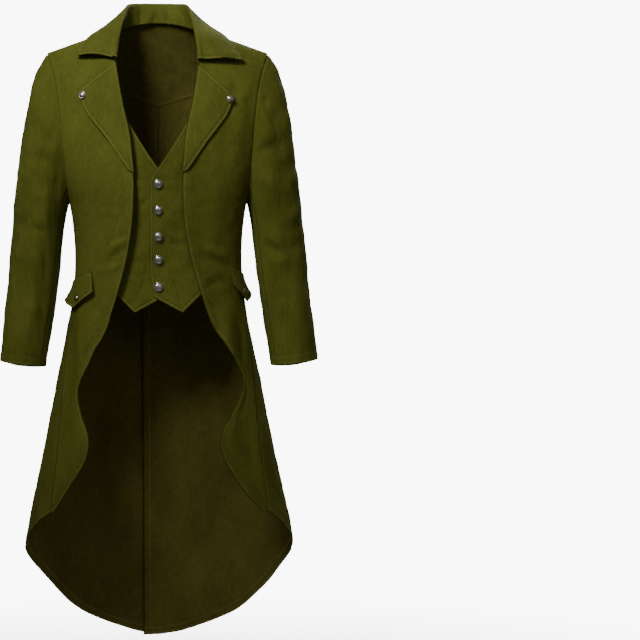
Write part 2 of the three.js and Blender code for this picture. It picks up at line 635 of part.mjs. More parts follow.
// The left panel is pressed in beside the vent and carries an underlap behind the right panel.
function backSurface(side, hasUnderlap) {
  return (column, row) => {
    const { angle, drop } = backCoordinates(Math.max(0, column), row);
    const crest = backCrest(column);
    const point = bodyPoint(side, angle, drop, crest);
    if (!hasUnderlap) {
      return point;
    }
    const pressed = smoothstep(drop, VENT.topDrop - VENT.pressedOver, VENT.topDrop);
    const stepIn = VENT.stepIn * pressed * clamp(1 - column / BACK_COLUMNS[1], 0, 1);
    if (column < 0) {
      const opened = clamp((drop - VENT.topDrop) / VENT.pressedOver, VENT.narrowOpening, 1);
      const x = (VENT.underlap * opened * column) / UNDERLAP_COLUMNS[0];
      point.copy(bodyPoint(-side, angleOf(x, drop, true), drop, crest));
    }
    return point.setY(point.y - stepIn);
  };
}

function addBack(side) {
  const hasUnderlap = side > 0;
  const columns = hasUnderlap ? [...UNDERLAP_COLUMNS, ...BACK_COLUMNS] : BACK_COLUMNS;
  const rows = backTable.rows.map((entry) => entry.row);
  const geometry = clothWall(backSurface(side, hasUnderlap), columns, rows, {
    facing: side,
    trim: [hasUnderlap ? 0 : 2 * SEAM_INSET, SEAM_INSET, SEAM_INSET, 0],
  });
  addPiece(`back_${sideName(side)}`, geometry, TWILL);
}

// ---- Sleeves ----

const sleeveColumn = Object.fromEntries(
  Object.keys(SLEEVE[0]).map((column) => [column, through(SLEEVE, "ring", column)]),
);

function sleeveFoldDepth(side, ring, degrees) {
  return SLEEVE_FOLDS.filter((fold) => fold.side === side).reduce((sum, fold) => {
    const across = (degrees - fold.angle) / fold.across;
    const down = (ring - fold.ring) / fold.along;
    return sum + fold.depth * Math.exp(-across * across - down * down);
  }, 0);
}

function sleeveEllipse(side, ring, degrees) {
  const angle = degToRad(degrees);
  const inner = { x: sleeveColumn.inX(ring), z: -sleeveColumn.inDrop(ring) };
  const outer = { x: sleeveColumn.outX(ring), z: -sleeveColumn.outDrop(ring) };
  const share = (1 + Math.cos(angle)) / 2;
  const fold = sleeveFoldDepth(side, ring, degrees);
  const reach = (sleeveColumn.depth(ring) + fold) * Math.sin(angle);
  const sag = CUFF_SAG.depth * Math.sin(angle) ** 2 * smoothstep(ring, CUFF_SAG.fromRing, CUFF_RING);
  return new THREE.Vector3(
    side * lerp(inner.x, outer.x, share),
    sleeveColumn.middle(ring) + reach,
    lerp(inner.z, outer.z, share) - reach * sleeveColumn.lean(ring) - sag,
  );
}

// A point of the sleeve: degrees run from the outer line of the arm, to the back above zero.
function sleevePoint(side, ring, degrees) {
  const turned = degrees > 180 ? degrees - 360 : degrees;
  const cap = armholePoint(side, turned).sub(sleeveEllipse(side, 0, turned));
  const fade = (1 - smoothstep(ring, 0, CAP_FADES_AT_RING)) ** 2;
  return sleeveEllipse(side, ring, turned).addScaledVector(cap, fade);
}

function addSleeve(side) {
  const rings = SLEEVE.map((row) => row.ring);
  const around = [...ARMHOLE_STATIONS.slice(1).reverse().map((station) => -station), ...ARMHOLE_STATIONS];
  const surface = (degrees, ring) => sleevePoint(side, ring, degrees);
  const backSeam = SLEEVE_BACK_SEAM[sideName(side)];
  const top = around.filter((degrees) => degrees >= -SLEEVE_FRONT_SEAM && degrees <= backSeam);
  const inFront = around.filter((degrees) => degrees > -180 && degrees <= -SLEEVE_FRONT_SEAM);
  const under = [
    ...around.filter((degrees) => degrees >= backSeam),
    ...inFront.map((degrees) => degrees + 360),
  ];
  const options = { facing: -side, trim: [SEAM_INSET, SEAM_INSET, 2 * SEAM_INSET, 0], keepX: side };
  addPiece(`sleeve_${sideName(side)}_top`, clothWall(surface, top, rings, options), TWILL);
  addPiece(`sleeve_${sideName(side)}_under`, clothWall(surface, under, rings, options), TWILL);
}

function cuffSurface(side) {
  const lift = DOUBLED_CLOTH + REST_GAP;
  return raised((degrees, ring) => sleevePoint(side, ring, degrees), () => lift, -side);
}

function addCuffPlacket(side) {
  const toAngle = SLEEVE_BACK_SEAM[sideName(side)] - CUFF_PLACKET.fromSeam;
  const columns = steps(CUFF_PLACKET.columns).map((share) => toAngle - CUFF_PLACKET.width * (1 - share));
  const rows = steps(CUFF_PLACKET.rows).map((share) =>
    lerp(CUFF_PLACKET.topRing, CUFF_RING - CUFF_PLACKET.clearOfHem, share),
  );
  const geometry = clothWall(cuffSurface(side), columns, rows, { thickness: DOUBLED_CLOTH, facing: -side });
  addPiece(`cuff_placket_${sideName(side)}`, geometry, PRESSED_TWILL);
}

// ---- Collar ----

// Where the stand rises: along the neckline to the neck side, then down the front edge to the gorge.
function collarBase(side, at) {
  const clears = smoothstep(at, STAND_FOOT.clearsFrom, COLLAR_NECK_SIDE);
  const rise = lerp(REST_GAP, COLLAR_FRONT_CLEARANCE, clears);
  if (at <= COLLAR_NECK_SIDE) {
    const crest = backCrest((at / COLLAR_NECK_SIDE) * NECK_COLUMN);
    return new THREE.Vector3(side * crest.x, crest.y, crest.z + rise);
  }
  const drop = (GORGE_DROP * (at - COLLAR_NECK_SIDE)) / (1 - COLLAR_NECK_SIDE);
  const x = frontEdgeX[sideName(side)](drop);
  const point = bodyPoint(side, angleOf(x, drop, false), drop);
  const forward = smoothstep(at, COLLAR_NECK_SIDE, STAND_FOOT.leansFullyAt);
  const upward = 1 - STAND_FOOT.leanAtGorge * smoothstep(at, COLLAR_NECK_SIDE, 1);
  return point.addScaledVector(new THREE.Vector3(0, -forward, upward).normalize(), rise);
}

const collarTables = { left: [...COLLAR, COLLAR_END.left], right: [...COLLAR, COLLAR_END.right] };
const collarColumns = {};
Object.keys(collarTables).forEach((name) => {
  const rows = collarTables[name];
  collarColumns[name] = Object.fromEntries(
    Object.keys(rows[0]).map((column) => [column, through(rows, "at", column)]),
  );
});

// The collar's section at one station, as a path from the stand's foot over the fold to the fall's edge.
function collarSection(station) {
  const side = station < 0 ? -1 : 1;
  const at = Math.abs(station);
  const column = collarColumns[sideName(side)];
  const foot = collarBase(side, at);
  const fold = new THREE.Vector3(side * column.foldX(at), column.foldY(at), column.foldZ(at));
  const edge = new THREE.Vector3(side * column.edgeX(at), column.edgeY(at), column.edgeZ(at));
  const up = fold.clone().sub(foot).normalize();
  const fall = edge.clone().sub(fold);
  const out = fall.clone().addScaledVector(up, -fall.dot(up)).normalize();
  const away = out.clone().multiplyScalar(FALL_BULGE.outward);
  away.addScaledVector(up, FALL_BULGE.upward).normalize();
  const radius = COLLAR_FOLD_RADIUS;
  const standTop = fold.clone().addScaledVector(out, -radius);
  const fallTop = fold.clone().addScaledVector(out, radius);
  const bulge = column.bulge(at);
  return [
    foot,
    foot.clone().lerp(standTop, 0.5).addScaledVector(out, -STAND_FOOT.hollow),
    standTop,
    fold.clone().addScaledVector(up, radius),
    fallTop,
    fallTop.clone().lerp(edge, FALL_BULGE.first).addScaledVector(away, bulge),
    fallTop.clone().lerp(edge, FALL_BULGE.second).addScaledVector(away, bulge * FALL_BULGE.secondShare),
    edge,
  ];
}

function addCollar() {
  const half = steps(COLLAR_STATIONS_A_SIDE);
  const stations = [...half.slice(1).reverse().map((at) => -at), ...half];
  const places = collarSection(0).map((_, i) => i);
  const surface = (place, station) => {
    const section = collarSection(station);
    const i = Math.min(Math.floor(place), section.length - 2);
    return section[i].clone().lerp(section[i + 1], place - i);
  };
  const outer = [];
  const inner = [];
  stations.forEach((station) => {
    places.forEach((place) => {
      const point = surface(place, station);
      const before = surface(Math.max(place - 1, 0), station);
      const after = surface(Math.min(place + 1, places.length - 1), station);
      const acrossCloth = after.clone().sub(point).normalize().add(point.clone().sub(before).normalize());
      const nextAlong = surface(place, Math.min(station + COLLAR_NUDGE, 1));
      const alongCloth = nextAlong.sub(surface(place, Math.max(station - COLLAR_NUDGE, -1)));
      const normal = acrossCloth.cross(alongCloth).normalize();
      outer.push(point);
      inner.push(point.clone().addScaledVector(normal, -DOUBLED_CLOTH));
    });
  });
  addPiece("collar", wallBetween(outer, inner, places.length, stations.length, 1), PRESSED_TWILL);
}

// ---- Lapels ----

function lapelSurface(side) {
  const name = sideName(side);
  const rollDropAt = along(LAPEL_ROLL, "at", name);
  const edgeX = through(LAPEL_EDGE, "at", `${name}X`);
  const edgeDrop = through(LAPEL_EDGE, "at", `${name}Drop`);
  const onCoat = (share, at) => {
    const rollDrop = rollDropAt(at);
    const rollX = frontEdgeX[name](rollDrop) - LAPEL.overhang;
    const x = lerp(rollX, edgeX(at), share);
    const drop = lerp(rollDrop, edgeDrop(at), share);
    return onFront(side, side * x, -drop);
  };
  const lift = (share, at) => {
    const rise = Math.sin(share * LAPEL.risesOver) * (1 - at) ** LAPEL.settlesBy;
    return LAPEL.lift + LAPEL.tipLift * rise;
  };
  return raised(onCoat, lift, -side);
}

function addLapel(side) {
  const geometry = clothWall(lapelSurface(side), steps(LAPEL_COLUMNS), steps(LAPEL_ROWS), {
    thickness: DOUBLED_CLOTH,
    facing: -side,
  });
  addPiece(`lapel_${sideName(side)}`, geometry, PRESSED_TWILL);
}

// ---- Waistcoat fronts ----

const vestEdgeX = through(VEST_EDGE, "drop", "x");
const vestSewnX = through(VEST_SEWN_EDGE, "drop", "x");
const vestHemDrop = along(VEST_HEM, "x", "drop");

// The left front laps over the right one, which is lap deeper.
function vestSurface(side) {
  const lap = side > 0 ? 0 : VEST.lap;
  const onCoat = (share, level) => {
    const x = lerp(vestEdgeX(level), vestSewnX(level), share);
    const shaped = smoothstep(level, VEST.hemShapesFrom, VEST.bodyDrop);
    const drop = level + (vestHemDrop(x) - VEST.bodyDrop) * shaped;
    return onFront(side, side * x, -drop);
  };
  const depth = (share) => {
    const drawnIn = smoothstep(share, VEST.drawsInFrom, 1);
    return -(CLOTH + lerp(VEST.standOff + lap, VEST.sewnOff, drawnIn));
  };
  return raised(onCoat, depth, -side);
}

function addVestFront(side) {
  const geometry = clothWall(vestSurface(side), steps(VEST_COLUMNS), VEST_LEVELS, { facing: -side });
  addPiece(`vest_${sideName(side)}`, geometry, TWILL);
}

// ---- Pocket flaps ----

const flapHem = along(FLAP_HEM, "along", "drop");

function flapSurface(side) {
  const seam = FLAP_SEAM[sideName(side)];
  const onCoat = (share, down) => {
    const angle = lerp(seam.fromAngle + seam.slant * down, seam.toAngle, share);
    const drop = seam.drop + FLAP.slope * share + flapHem(share) * down;
    return bodyPoint(side, angle, drop);
  };
  const lift = (share, down) => {
    const flare = Math.max(0, down) ** FLAP.flareCurve * lerp(FLAP.innerFlare, 1, share);
    return FLAP.lift + FLAP.flare * flare;
  };
  return raised(onCoat, lift, -side);
}

function addFlap(side) {
  const geometry = clothWall(flapSurface(side), steps(FLAP.columns), steps(FLAP.rows), {
    thickness: DOUBLED_CLOTH,
    facing: -side,
  });
  addPiece(`pocket_flap_${sideName(side)}`, geometry, PRESSED_TWILL);
}

// ---- Half belt ----

// u runs from the right end (-1) to the left end (1), and v from the top (-1) to the bottom edge (1).
function beltSurface(u, v) {
  const pointed = BELT_POINT.length * (1 - Math.abs(v)) * Math.abs(u) ** BELT_POINT.sharpness;
  const x = u * (BELT.halfLength + pointed);
  const drop = BELT.middleDrop - BELT.endRise * u * u + BELT.halfDepth * v;
  return bodyPoint(Math.sign(x) || 1, angleOf(x, drop, true), drop);
}

const beltTop = raised(beltSurface, () => BELT.lift, 1);

function addBelt() {
  const columns = steps(BELT_COLUMNS).map((share) => 2 * share - 1);
  const rows = steps(BELT_ROWS).map((share) => 2 * share - 1);
  const geometry = clothWall(beltTop, columns, rows, { thickness: DOUBLED_CLOTH, facing: 1 });
  addPiece("back_belt", geometry, PRESSED_TWILL);
}

// ---- Buttons ----

// A domed metal button on a shank.
function buttonGeometry(diameter) {
  const radius = diameter / 2;
  const profile = BUTTON_PROFILE.map(({ out, up }) => new THREE.Vector2(out * radius, up * radius));
  return new THREE.LatheGeometry(profile, BUTTON_SEGMENTS);
}

// Sets a button on a surface at (u, v), its foot a rest gap clear of the cloth.
function addButton(name, diameter, surface, u, v, facing) {
  const normal = normalOf(surface, u, v, facing);
  const button = addPiece(name, buttonGeometry(diameter), PEWTER);
  button.position.copy(surface(u, v)).addScaledVector(normal, REST_GAP);
  button.quaternion.setFromUnitVectors(new THREE.Vector3(0, 1, 0), normal);
}

// ---- The whole garment ----

addYoke();
addCollar();
addBelt();
[1, -1].forEach((side) => {
  const name = sideName(side);
  addBack(side);
  addFront(side);
  addSleeve(side);
  addCuffPlacket(side);
  addLapel(side);
  addVestFront(side);
  addFlap(side);
  const diameter = BUTTON_DIAMETER;
  const cuffButtonAngle = SLEEVE_BACK_SEAM[name] - CUFF_BUTTON_FROM_SEAM;
  CUFF_BUTTON_RINGS.forEach((ring, i) => {
    addButton(`cuff_button_${name}_${i + 1}`, diameter.cuff, cuffSurface(side), cuffButtonAngle, ring, -side);
  });
  const lapel = lapelSurface(side);
  addButton(`lapel_stud_${name}`, diameter.lapel, lapel, LAPEL_STUD.across, LAPEL_STUD.at, -side);
  const flap = flapSurface(side);
  addButton(`flap_button_${name}`, diameter.flap, flap, FLAP_BUTTON_AT.along, FLAP_BUTTON_AT.down, -side);
  const onBelt = (side * BELT_BUTTON[`${name}X`]) / BELT.halfLength;
  addButton(`belt_button_${name}`, diameter.belt, beltTop, onBelt, -BELT_BUTTON.aboveMiddle, 1);
});
const lappedFront = (x, drop) => onFront(1, x, -drop).add(new THREE.Vector3(0, CLOTH + VEST.standOff, 0));
VEST_BUTTON_DROPS.forEach((drop, i) => {
  addButton(`vest_button_${i + 1}`, BUTTON_DIAMETER.vest, lappedFront, 0, drop, -1);
});

export default coat;
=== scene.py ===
import functools
import math
import operator

import bpy
import numpy as np
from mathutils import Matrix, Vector


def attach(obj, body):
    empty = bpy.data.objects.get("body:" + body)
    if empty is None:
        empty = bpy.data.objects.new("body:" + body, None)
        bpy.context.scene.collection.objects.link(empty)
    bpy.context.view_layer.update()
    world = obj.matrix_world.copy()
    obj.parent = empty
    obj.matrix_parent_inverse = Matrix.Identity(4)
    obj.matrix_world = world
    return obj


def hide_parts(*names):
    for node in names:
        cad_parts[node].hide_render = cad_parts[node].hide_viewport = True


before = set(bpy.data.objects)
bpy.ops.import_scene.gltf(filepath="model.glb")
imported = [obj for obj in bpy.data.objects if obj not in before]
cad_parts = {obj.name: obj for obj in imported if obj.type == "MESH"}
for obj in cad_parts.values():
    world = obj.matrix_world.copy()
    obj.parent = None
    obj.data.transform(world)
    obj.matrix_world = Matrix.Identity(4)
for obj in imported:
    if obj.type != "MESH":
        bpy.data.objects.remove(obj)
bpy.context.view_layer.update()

# ---- Camera, lamps and floor ----
# A long lens at chest height, turned a little to the side and down, keeps the coat in the left half
# of the frame. One large soft lamp hangs high in front, a second fills in and a third lights the back.
CAMERA_PLACE = (0, -6.0, -0.124)
CAMERA_DOWN = math.radians(4.42)
CAMERA_ASIDE = math.radians(3.11)
CAMERA_LENS = 167.5
FLOOR_HEIGHT = -1.45
FLOOR_RADIUS = 5.0
FLOOR_COLOUR = (0.86, 0.86, 0.85, 1)
FLOOR_ROUGHNESS = 0.9
FLOOR_SIDES = 96
# How far from its middle the floor starts to thin out, and where it is gone.
FLOOR_THINS_FROM, FLOOR_GONE_AT = 0.3, 2.0
# How brightly the pale floor shows to the camera; it casts no light of its own on the coat.
FLOOR_GLOW = 1.6
UNLIT = (0, 0, 0, 1)
# The room's light falls off towards the floor; the backdrop is what the camera sees behind the coat.
ROOM_LIGHT, ROOM_LIGHT_RISE = 0.165, 0.10
ROOM_COLOUR = (1.0, 0.95, 0.84, 1)
BACKDROP_LIGHT = 9.0
BACKDROP_COLOUR = (1, 1, 1, 1)
# Name, place, height that it aims at, size across, spread and power of each lamp.
LAMPS = (
    ("front_lamp", (-1.15, -2.1, 1.75), -0.06, 0.9, 42, 6.7),
    ("fill_lamp", (1.6, -4.2, 1.2), -0.30, 1.6, 180, 11),
    ("back_lamp", (1.15, 2.1, 1.75), -0.06, 0.9, 42, 7.2),
)


class Socket:
    """An output in a node tree: sums on it add Math nodes, and node() adds any other kind."""

    def __init__(self, tree, output=None):
        self.tree = tree
        self.output = output

    def node(self, kind, settings=None, values=None, output=0):
        """Adds a node: its settings first, then the value or link of each socket."""
        made = self.tree.nodes.new(kind)
        for name, setting in (settings or {}).items():
            setattr(made, name, setting)
        for name, value in (values or {}).items():
            if isinstance(value, Socket):
                self.tree.links.new(value.output, made.inputs[name])
            else:
                made.inputs[name].default_value = value
        return Socket(self.tree, made.outputs[output]) if made.outputs else None

    def math(self, operation, *values):
        return self.node("ShaderNodeMath", {"operation": operation}, dict(enumerate(values)))

    def feeds(self, wanted):
        """Links this value to another node's input."""
        self.tree.links.new(self.output, wanted)

    def between(self, colour_a, colour_b):
        """A colour that runs from one to the other as this value goes from 0 to 1."""
        return self.node("ShaderNodeMix", {"data_type": "RGBA"}, {0: self, 6: colour_a, 7: colour_b}, 2)

    def __add__(self, other):
        return self.math("ADD", self, other)

    def __sub__(self, other):
        return self.math("SUBTRACT", self, other)

    def __rsub__(self, other):
        return self.math("SUBTRACT", other, self)

    def __mul__(self, other):
        return self.math("MULTIPLY", self, other)

    __radd__ = __add__
    __rmul__ = __mul__


camera_data = bpy.data.cameras.new("camera")
camera_data.lens = CAMERA_LENS
camera = bpy.data.objects.new("camera", camera_data)
camera.location = CAMERA_PLACE
camera.rotation_euler = (math.pi / 2 - CAMERA_DOWN, 0, -CAMERA_ASIDE)
bpy.context.collection.objects.link(camera)
bpy.context.scene.camera = camera

for lamp_name, lamp_place, lamp_aim, lamp_size, lamp_spread, lamp_power in LAMPS:
    lamp_data = bpy.data.lights.new(lamp_name, "AREA")
    lamp_data.shape = "DISK"
    lamp_data.size = lamp_size
    lamp_data.spread = math.radians(lamp_spread)
    lamp_data.energy = lamp_power
    lamp = bpy.data.objects.new(lamp_name, lamp_data)
    lamp.location = lamp_place
    aim = Vector((0, 0, lamp_aim)) - Vector(lamp_place)
    lamp.rotation_euler = aim.to_track_quat("-Z", "Y").to_euler()
    bpy.context.collection.objects.link(lamp)

room = bpy.data.worlds.new("pale_room")
room.use_nodes = True
bpy.context.scene.world = room
room_light = Socket(room.node_tree)
seen = room_light.node("ShaderNodeLightPath", output="Is Camera Ray")
way = room_light.node("ShaderNodeTexCoord", output="Generated")
upward = room_light.node("ShaderNodeSeparateXYZ", None, {"Vector": way}, "Z")
falling = ROOM_LIGHT + upward * ROOM_LIGHT_RISE
room_shade = room.node_tree.nodes["Background"]
seen.between(ROOM_COLOUR, BACKDROP_COLOUR).feeds(room_shade.inputs["Color"])
(falling + seen * (BACKDROP_LIGHT - falling)).feeds(room_shade.inputs["Strength"])


def new_material(name):
    """A material with its shader, and a start for the sums that feed it."""
    material = bpy.data.materials.new(name)
    material.use_nodes = True
    return material, material.node_tree.nodes["Principled BSDF"], Socket(material.node_tree)


def floor_material():
    """Pale paint, which thins out away from the coat so that the floor runs into the backdrop."""
    material, paint, start = new_material("pale_floor")
    paint.inputs["Base Color"].default_value = FLOOR_COLOUR
    paint.inputs["Roughness"].default_value = FLOOR_ROUGHNESS
    paint.inputs["Emission Strength"].default_value = FLOOR_GLOW
    shown = start.node("ShaderNodeLightPath", output="Is Camera Ray")
    shown.between(UNLIT, FLOOR_COLOUR).feeds(paint.inputs["Emission Color"])
    place = start.node("ShaderNodeTexCoord", output="Object")
    flat = start.node("ShaderNodeVectorMath", {"operation": "MULTIPLY"}, {0: place, 1: (1, 1, 0)})
    reach = start.node("ShaderNodeVectorMath", {"operation": "LENGTH"}, {0: flat}, "Value")
    span = {"From Min": FLOOR_THINS_FROM, "From Max": FLOOR_GONE_AT, "To Min": 1.0, "To Max": 0.0}
    fade = start.node(
        "ShaderNodeMapRange", {"interpolation_type": "SMOOTHSTEP"}, {"Value": reach, **span}
    )
    fade.feeds(paint.inputs["Alpha"])
    return material


floor_mesh = bpy.data.meshes.new("floor")
floor_turns = np.linspace(0, 2 * math.pi, FLOOR_SIDES + 1)[:-1]
floor_rim = [(math.cos(turn), math.sin(turn)) for turn in floor_turns]
floor_mesh.from_pydata(
    [(FLOOR_RADIUS * x, FLOOR_RADIUS * y, FLOOR_HEIGHT) for x, y in floor_rim],
    [],
    [tuple(range(FLOOR_SIDES))],
)
floor = bpy.data.objects.new("floor", floor_mesh)
floor_mesh.materials.append(floor_material())
bpy.context.collection.objects.link(floor)

# ---- Back yoke ----
# One piece of twill over both shoulders, pointed at the centre back and felled down onto the backs.
# Its cloth, and that of every panel, hangs on the form of the filled-out body given here.
CLOTH = 0.002
DOUBLED_CLOTH = 0.0024
GRID = 0.0050
RIB_SPACING = 0.0016
# Drop, half width, reach to the front and to the back, and squareness (2 is an ellipse).
BODY = np.array([
    (0.000, 0.2350, 0.064, 0.086, 2.35),
    (0.050, 0.2320, 0.076, 0.099, 2.35),
    (0.100, 0.2280, 0.087, 0.108, 2.35),
    (0.150, 0.2220, 0.095, 0.114, 2.35),
    (0.200, 0.2140, 0.106, 0.118, 2.35),
    (0.250, 0.2040, 0.112, 0.117, 2.35),
    (0.300, 0.1910, 0.113, 0.113, 2.35),
    (0.351, 0.1775, 0.112, 0.108, 2.35),
    (0.410, 0.1695, 0.106, 0.098, 2.35),
    (0.470, 0.1670, 0.101, 0.092, 2.35),
    (0.530, 0.1715, 0.104, 0.097, 2.30),
    (0.600, 0.1825, 0.111, 0.108, 2.20),
    (0.690, 0.2010, 0.119, 0.117, 2.10),
    (0.780, 0.2190, 0.127, 0.126, 2.00),
    (0.880, 0.2390, 0.137, 0.136, 2.00),
    (0.964, 0.2560, 0.147, 0.144, 2.00),
    (1.030, 0.2680, 0.154, 0.149, 2.00),
    (1.260, 0.3000, 0.170, 0.165, 2.00),
])
NECK_HALF_WIDTH, NECK_SIDE_Y, NECK_BACK_REACH, NAPE_RISE = 0.080, 0.008, 0.062, 0.014
SHOULDER_TIP_X, SHOULDER_TIP_Y, SHOULDER_SLOPE = 0.221, 0.002, 0.36
SHOULDER_ROLL, SHOULDER_LEVELS_OUT = 0.165, 0.350
# Largest folds: side, angle, drop, degrees across, length down, degrees of drift a metre, depth.
FOLDS = (
    (1, 47, 0.712, 11, 0.048, 0, -0.009),
    (1, 33, 0.826, 13, 0.062, 0, 0.017),
    (-1, 46, 0.722, 11, 0.048, 0, -0.008),
    (-1, 37, 0.832, 13, 0.062, 0, 0.013),
    (1, 64, 0.660, 5, 0.110, -120, 0.005),
    (-1, 62, 0.668, 5, 0.110, -110, 0.005),
    (1, 104, 1.120, 10, 0.230, 20, 0.005),
    (-1, 107, 1.110, 10, 0.240, 20, 0.008),
    (1, 133, 1.170, 9, 0.260, 20, -0.008),
    (-1, 130, 1.180, 9, 0.250, 20, -0.009),
    (1, 156, 1.230, 8, 0.270, 10, 0.009),
    (-1, 159, 1.230, 8, 0.260, 10, 0.008),
)
ARMPIT_DROP = 0.351
# Height below the origin and x of the armhole, and the stations round it in degrees from the tip.
ARMHOLE = np.array([(0.05076, 0.221), (0.102, 0.205), (0.174, 0.195), (0.275, 0.186), (0.351, 0.1775)])
ARMHOLE_STATIONS = np.array([0, 13.5, 27, 40.5, 54, 72, 90, 108, 126, 144, 162, 180])
YOKE_STATION = 54
# Share of a back panel's columns that hang from the neckline; the rest hang from the shoulder.
NECK_SHARE = 0.42
# Distance from the centre back, and how far below the origin the yoke seam runs there.
YOKE_SEAM = np.array([(0, 0.158), (0.018, 0.153), (0.065, 0.138), (0.131, 0.124), (0.203, 0.113)])
# Creases: 1 at the back and -1 in front, from (x, z) to (x, z), sideways bow, width, and height,
# which is below zero in a trough.
YOKE_CREASES = (
    (1, 0.022, -0.100, 0.018, -0.150, 0.002, 0.007, -0.0015),
    (1, -0.030, -0.055, -0.041, -0.118, 0.004, 0.010, 0.0018),
    (1, 0.062, -0.050, 0.084, -0.110, -0.004, 0.011, -0.0018),
    (1, -0.110, -0.062, -0.172, -0.094, 0.006, 0.010, 0.0021),
    (1, 0.118, -0.064, 0.176, -0.100, -0.005, 0.010, 0.0019),
)
# Rounds in which the yoke seam settles on its height, and the column where it turns to the armhole.
YOKE_SEAM_ROUNDS, YOKE_SEAM_TURNS_AT = 12, 0.9
# Degrees round the body over which its folds come to stand out sideways as well.
FOLDS_TURN = (55, 90)
ALMOST_NOTHING = 1e-12


def smooth_curve(table, column):
    """A smooth curve through one column of a table against its first, held level past the ends."""
    keys, values = table[:, 0], table[:, column]
    before = np.r_[0, np.arange(len(keys) - 1)]
    after = np.r_[np.arange(1, len(keys)), len(keys) - 1]
    slopes = (values[after] - values[before]) / (keys[after] - keys[before])

    def at(key):
        row = np.clip(np.searchsorted(keys, key) - 1, 0, len(keys) - 2)
        span = keys[row + 1] - keys[row]
        t = np.clip((key - keys[row]) / span, 0, 1)
        ends = values[row] * (1 + 2 * t) * (1 - t) ** 2 + values[row + 1] * t * t * (3 - 2 * t)
        return ends + span * (slopes[row] * t * (1 - t) ** 2 - slopes[row + 1] * t * t * (1 - t))

    return at


def lerp(start, end, share):
    return start + (end - start) * share


def ease(value, start, end):
    """Goes softly from 0 to 1 as the value goes from start to end."""
    t = np.clip((value - start) / (end - start), 0, 1)
    return t * t * (3 - 2 * t)


def unit(vectors):
    return vectors / np.maximum(np.linalg.norm(vectors, axis=-1, keepdims=True), ALMOST_NOTHING)


def points_of(x, y, z):
    return np.stack(np.broadcast_arrays(x, y, z), axis=-1)


half_width, front_reach, back_reach, squareness = (smooth_curve(BODY, column) for column in (1, 2, 3, 4))


def shoulder_crest(x):
    """The point of the shoulder line from which the cloth at x hangs."""
    beyond = np.maximum(0, x - NECK_HALF_WIDTH)
    share = beyond / (SHOULDER_TIP_X - NECK_HALF_WIDTH)
    return points_of(x, lerp(NECK_SIDE_Y, SHOULDER_TIP_Y, share), -SHOULDER_SLOPE * beyond)


def back_crest(column):
    """The point of the neckline or shoulder line from which a column of the back hangs."""
    share = (column - NECK_SHARE) / (1 - NECK_SHARE)
    turn = (math.pi / 2) * np.clip(column / NECK_SHARE, 0, 1)
    neckline = points_of(
        NECK_HALF_WIDTH * np.sin(turn),
        NECK_SIDE_Y + NECK_BACK_REACH * np.cos(turn),
        NAPE_RISE * np.cos(turn) ** 2,
    )
    shoulder = shoulder_crest(lerp(NECK_HALF_WIDTH, SHOULDER_TIP_X, share))
    return np.where((column >= NECK_SHARE)[..., None], shoulder, neckline)


def fold_depth(side, degrees, drop):
    depth = 0
    for fold_side, angle, middle, across, down, drift, height in FOLDS:
        from_middle = (degrees - angle - drift * (drop - middle)) / across
        below = (drop - middle) / down
        depth = depth + height * (fold_side == np.sign(side)) * np.exp(-from_middle**2 - below**2)
    return depth


def body_point(side, degrees, drop, crest=None):
    """A point of the filled-out body, at an angle round it and a drop below its crest."""
    angle = np.radians(degrees)
    power = 2 / squareness(drop)
    x = half_width(drop) * np.abs(np.sin(angle)) ** power
    crest = shoulder_crest(x) if crest is None else crest
    around = np.abs(np.cos(angle)) ** power
    depth = np.where(degrees > 90, back_reach(drop), -front_reach(drop)) * around
    opened = np.sqrt(1 - (1 - np.clip(drop / SHOULDER_ROLL, 0, 1)) ** 2)
    level = np.maximum(0, 1 - drop / SHOULDER_LEVELS_OUT)
    fold = fold_depth(side, degrees, drop)
    sideways = ease(degrees, *FOLDS_TURN) * np.sin(angle)
    y = lerp(crest[..., 1], depth, opened) - fold * np.cos(angle)
    return points_of(side * (x + fold * sideways), y, crest[..., 2] * level - drop)


def drop_of(crest, z):
    """The drop, along the cloth, of a point at height z that hangs from the crest."""
    drop = (crest[..., 2] - z) / (1 + crest[..., 2] / SHOULDER_LEVELS_OUT)
    return np.where(drop < SHOULDER_LEVELS_OUT, drop, -z)


def angle_of(x, drop, at_back=False):
    """The angle round the body at which the cloth passes x."""
    sine = np.clip(np.abs(x) / half_width(drop), 0, 1) ** (squareness(drop) / 2)
    degrees = np.degrees(np.arcsin(sine))
    return np.where(at_back, 180 - degrees, degrees)


armhole_x = smooth_curve(ARMHOLE, 1)
TIP_CREST = shoulder_crest(np.float64(SHOULDER_TIP_X))


def armhole_row(station, at_back):
    """Drop and angle on the body of an armhole station, on the front or the back of the loop."""
    share = (1 + np.cos(np.radians(station))) / 2
    z = lerp(-ARMPIT_DROP, TIP_CREST[2], share)
    x = armhole_x(-z)
    crest = np.where(np.asarray(at_back)[..., None], TIP_CREST, shoulder_crest(x))
    drop = drop_of(crest, z)
    return drop, angle_of(x, drop, at_back), crest


armhole_front, armhole_back = (
    np.column_stack(armhole_row(ARMHOLE_STATIONS, np.full(len(ARMHOLE_STATIONS), at_back))[:2])
    for at_back in (False, True)
)
front_armhole_angle = smooth_curve(armhole_front, 1)
back_armhole_angle = smooth_curve(armhole_back, 1)
yoke_end_drop, yoke_end_angle = armhole_back[list(ARMHOLE_STATIONS).index(YOKE_STATION)]
yoke_seam_drop = smooth_curve(YOKE_SEAM, 1)


def yoke_seam(column):
    """Angle and drop of the yoke seam under each column of the back."""
    angle = lerp(180, yoke_end_angle, column)
    crest = back_crest(column)
    drop = np.full_like(angle, yoke_end_drop)
    for _ in range(YOKE_SEAM_ROUNDS):
        x = np.abs(body_point(1, angle, drop, crest)[..., 0])
        drop = drop_of(crest, -yoke_seam_drop(x))
    return angle, lerp(drop, yoke_end_drop, ease(column, YOKE_SEAM_TURNS_AT, 1))


